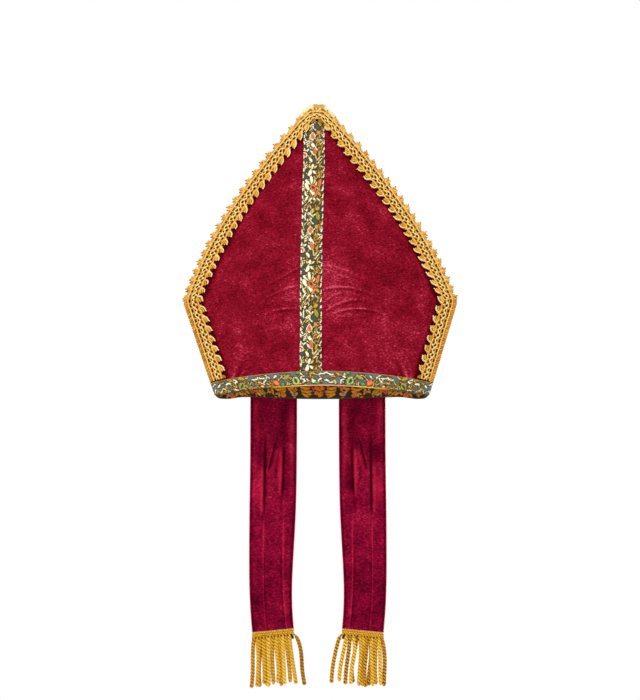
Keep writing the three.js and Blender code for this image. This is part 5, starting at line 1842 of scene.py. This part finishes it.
SENSOR = 36.0
CLIP_END = 60.0
FLOOR_HALF = 12.0
VIEW_CENTRE = np.array([-2.4, 0.0, 59.0])
SURROUND_STRENGTH = 1.0
LIGHT_TARGET = np.array([0.0, 0.0, 0.05])
# Square area lights: name, place in metres, size in metres and power in watts
SOFTBOXES = [
    ("Key softbox", (-1.5, -1.9, 2.4), 1.2, 24.0),
    ("Fill softbox", (2.0, -2.4, 0.6), 2.0, 3.0),
    ("Back softbox", (0.4, 2.4, 1.8), 1.8, 8.0),
]


def add_floor(chosen):
    corners = FLOOR_HALF * np.array([(-1, -1), (1, -1), (1, 1), (-1, 1)])
    mesh = bpy.data.meshes.new("floor")
    mesh.from_pydata([(x, y, chosen.floor_height) for x, y in corners], [], [(0, 1, 2, 3)])
    mesh.materials.append(matt_paint("Pale studio floor", tuple(chosen.floor)))
    add_object("floor", mesh)


def add_light(chosen):
    """A pale surround and the softboxes, each turned to the middle of the hat."""
    world = bpy.data.worlds.new("Surround")
    world.use_nodes = True
    background = world.node_tree.nodes["Background"]
    background.inputs["Color"].default_value = tuple(chosen.surround)
    background.inputs["Strength"].default_value = SURROUND_STRENGTH
    bpy.context.scene.world = world
    for name, place, size, power in SOFTBOXES:
        lamp = bpy.data.lights.new(name, "AREA")
        lamp.shape = "SQUARE"
        lamp.size = size
        lamp.energy = power
        holder = add_object(name, lamp)
        holder.location = place
        aim = LIGHT_TARGET - np.array(place)
        tilt = math.atan2(math.hypot(aim[0], aim[1]), -aim[2])
        holder.rotation_euler = (tilt, 0, math.atan2(aim[1], aim[0]) - math.pi / 2)


def add_camera(chosen):
    """A camera far enough away for the photograph's slight perspective, looking up at the hat."""
    data = bpy.data.cameras.new("Camera")
    data.sensor_width = SENSOR
    data.lens = SENSOR * chosen.distance / chosen.view_height
    data.clip_end = CLIP_END
    camera = add_object("Camera", data)
    reach = np.array([0, math.cos(chosen.pitch), math.sin(chosen.pitch)])
    camera.location = VIEW_CENTRE * MM - chosen.distance * reach
    camera.rotation_euler = (math.pi / 2 + chosen.pitch, 0, 0)
    bpy.context.scene.camera = camera


# Operators


class MITRE_OT_panels(bpy.types.Operator):
    """Makes the two velvet panels"""

    bl_idname = "mitre.panels"
    bl_label = "Velvet panels"

    def execute(self, context):
        chosen = context.scene.mitre_velvet
        velvet = knit_velvet("Crimson warp-knitted velvet", chosen_colours(chosen, VELVET_COLOURS))
        for name, side in (("front", FRONT), ("back", BACK)):
            panel = piece(f"{name}_velvet", [panel_part(side)], velvet)
            settle(panel, "velvet", f"{name}_panel")
        return {"FINISHED"}


class MITRE_OT_brocade(bpy.types.Operator):
    """Makes the rim binding and the upright ribbon"""

    bl_idname = "mitre.brocade"
    bl_label = "Brocade"

    def execute(self, context):
        woven = jacquard("Floral jacquard ribbon")
        settle(piece("upright_ribbon", [ribbon_part()], woven), "brocade", "front_ribbon")
        settle(piece("rim_binding", [band_part()], woven), "brocade", "rim_band")
        return {"FINISHED"}


class MITRE_OT_lace(bpy.types.Operator):
    """Makes the gold lace on both panels"""

    bl_idname = "mitre.lace"
    bl_label = "Gold lace"

    def execute(self, context):
        chosen = context.scene.mitre_lace
        yarn = twisted_yarn("Gold rayon guipure yarn", chosen_colours(chosen, YARN_COLOURS), twist=0.35)
        for name, side in (("front", FRONT), ("back", BACK)):
            settle(piece(f"{name}_guipure", lace_parts(side), yarn), "gold_lace", f"{name}_lace")
        return {"FINISHED"}


class MITRE_OT_fold(bpy.types.Operator):
    """Makes the satin fold between the slopes"""

    bl_idname = "mitre.fold"
    bl_label = "Satin fold"

    def execute(self, context):
        chosen = context.scene.mitre_trim
        cloth = satin("Gold acetate satin", chosen_colours(chosen, ("satin_deep", "satin_pale")))
        settle(piece("satin_fold", [gusset_part()], cloth), "gold_satin", "peak_gusset")
        return {"FINISHED"}


class MITRE_OT_lappets(bpy.types.Operator):
    """Makes the two lappets and their bullion fringe"""

    bl_idname = "mitre.lappets"
    bl_label = "Lappets and fringe"

    def execute(self, context):
        chosen = context.scene.mitre_lappets
        colours = chosen_colours(chosen, VELVET_COLOURS)
        velvet = knit_velvet("Creased lappet velvet", colours, tuple(chosen.rim))
        gold = context.scene.mitre_fringe
        yarn = twisted_yarn("Gold rayon bullion", chosen_colours(gold, YARN_COLOURS), twist=0.3)
        for side_name in LAPPETS:
            lappet = piece(f"{side_name}_lappet", [lappet_part(side_name)], velvet)
            settle(lappet, "lappet_velvet", f"lappet_{side_name}")
            fringe = piece(f"{side_name}_bullion", fringe_parts(side_name, gold), yarn)
            settle(fringe, "gold_fringe", f"fringe_{side_name}")
        return {"FINISHED"}


class MITRE_OT_stage(bpy.types.Operator):
    """Makes the floor, the soft studio light and the camera"""

    bl_idname = "mitre.stage"
    bl_label = "Stage"

    def execute(self, context):
        chosen = context.scene.mitre_stage
        add_floor(chosen)
        add_light(chosen)
        add_camera(chosen)
        context.scene.view_settings.view_transform = "Standard"
        return {"FINISHED"}


class MITRE_PT_sidebar(bpy.types.Panel):
    """Lists the mitre's pieces and colours"""

    bl_idname = "MITRE_PT_sidebar"
    bl_label = "Mitre"
    bl_space_type = "VIEW_3D"
    bl_region_type = "UI"
    bl_category = "Mitre"

    def draw(self, context):
        for step in STEPS:
            self.layout.operator(step.bl_idname)
        for name, group in GROUPS.items():
            box = self.layout.box()
            box.label(text=group.__name__.replace("Mitre", ""))
            for field in group.__annotations__:
                box.prop(getattr(context.scene, name), field)


STEPS = (MITRE_OT_panels, MITRE_OT_brocade, MITRE_OT_lace, MITRE_OT_fold, MITRE_OT_lappets,
         MITRE_OT_stage)


def register():
    for group in GROUPS.values():
        bpy.utils.register_class(group)
    for step in STEPS:
        bpy.utils.register_class(step)
    bpy.utils.register_class(MITRE_PT_sidebar)
    for name, group in GROUPS.items():
        setattr(bpy.types.Scene, name, PointerProperty(type=group))


def unregister():
    for name in GROUPS:
        delattr(bpy.types.Scene, name)
    bpy.utils.unregister_class(MITRE_PT_sidebar)
    for step in reversed(STEPS):
        bpy.utils.unregister_class(step)
    for group in reversed(GROUPS.values()):
        bpy.utils.unregister_class(group)


def main():
    register()
    bpy.ops.mitre.stage()
    bpy.ops.mitre.brocade()
    bpy.ops.mitre.panels()
    bpy.ops.mitre.lace()
    bpy.ops.mitre.fold()
    bpy.ops.mitre.lappets()


if __name__ == "__main__":
    main()
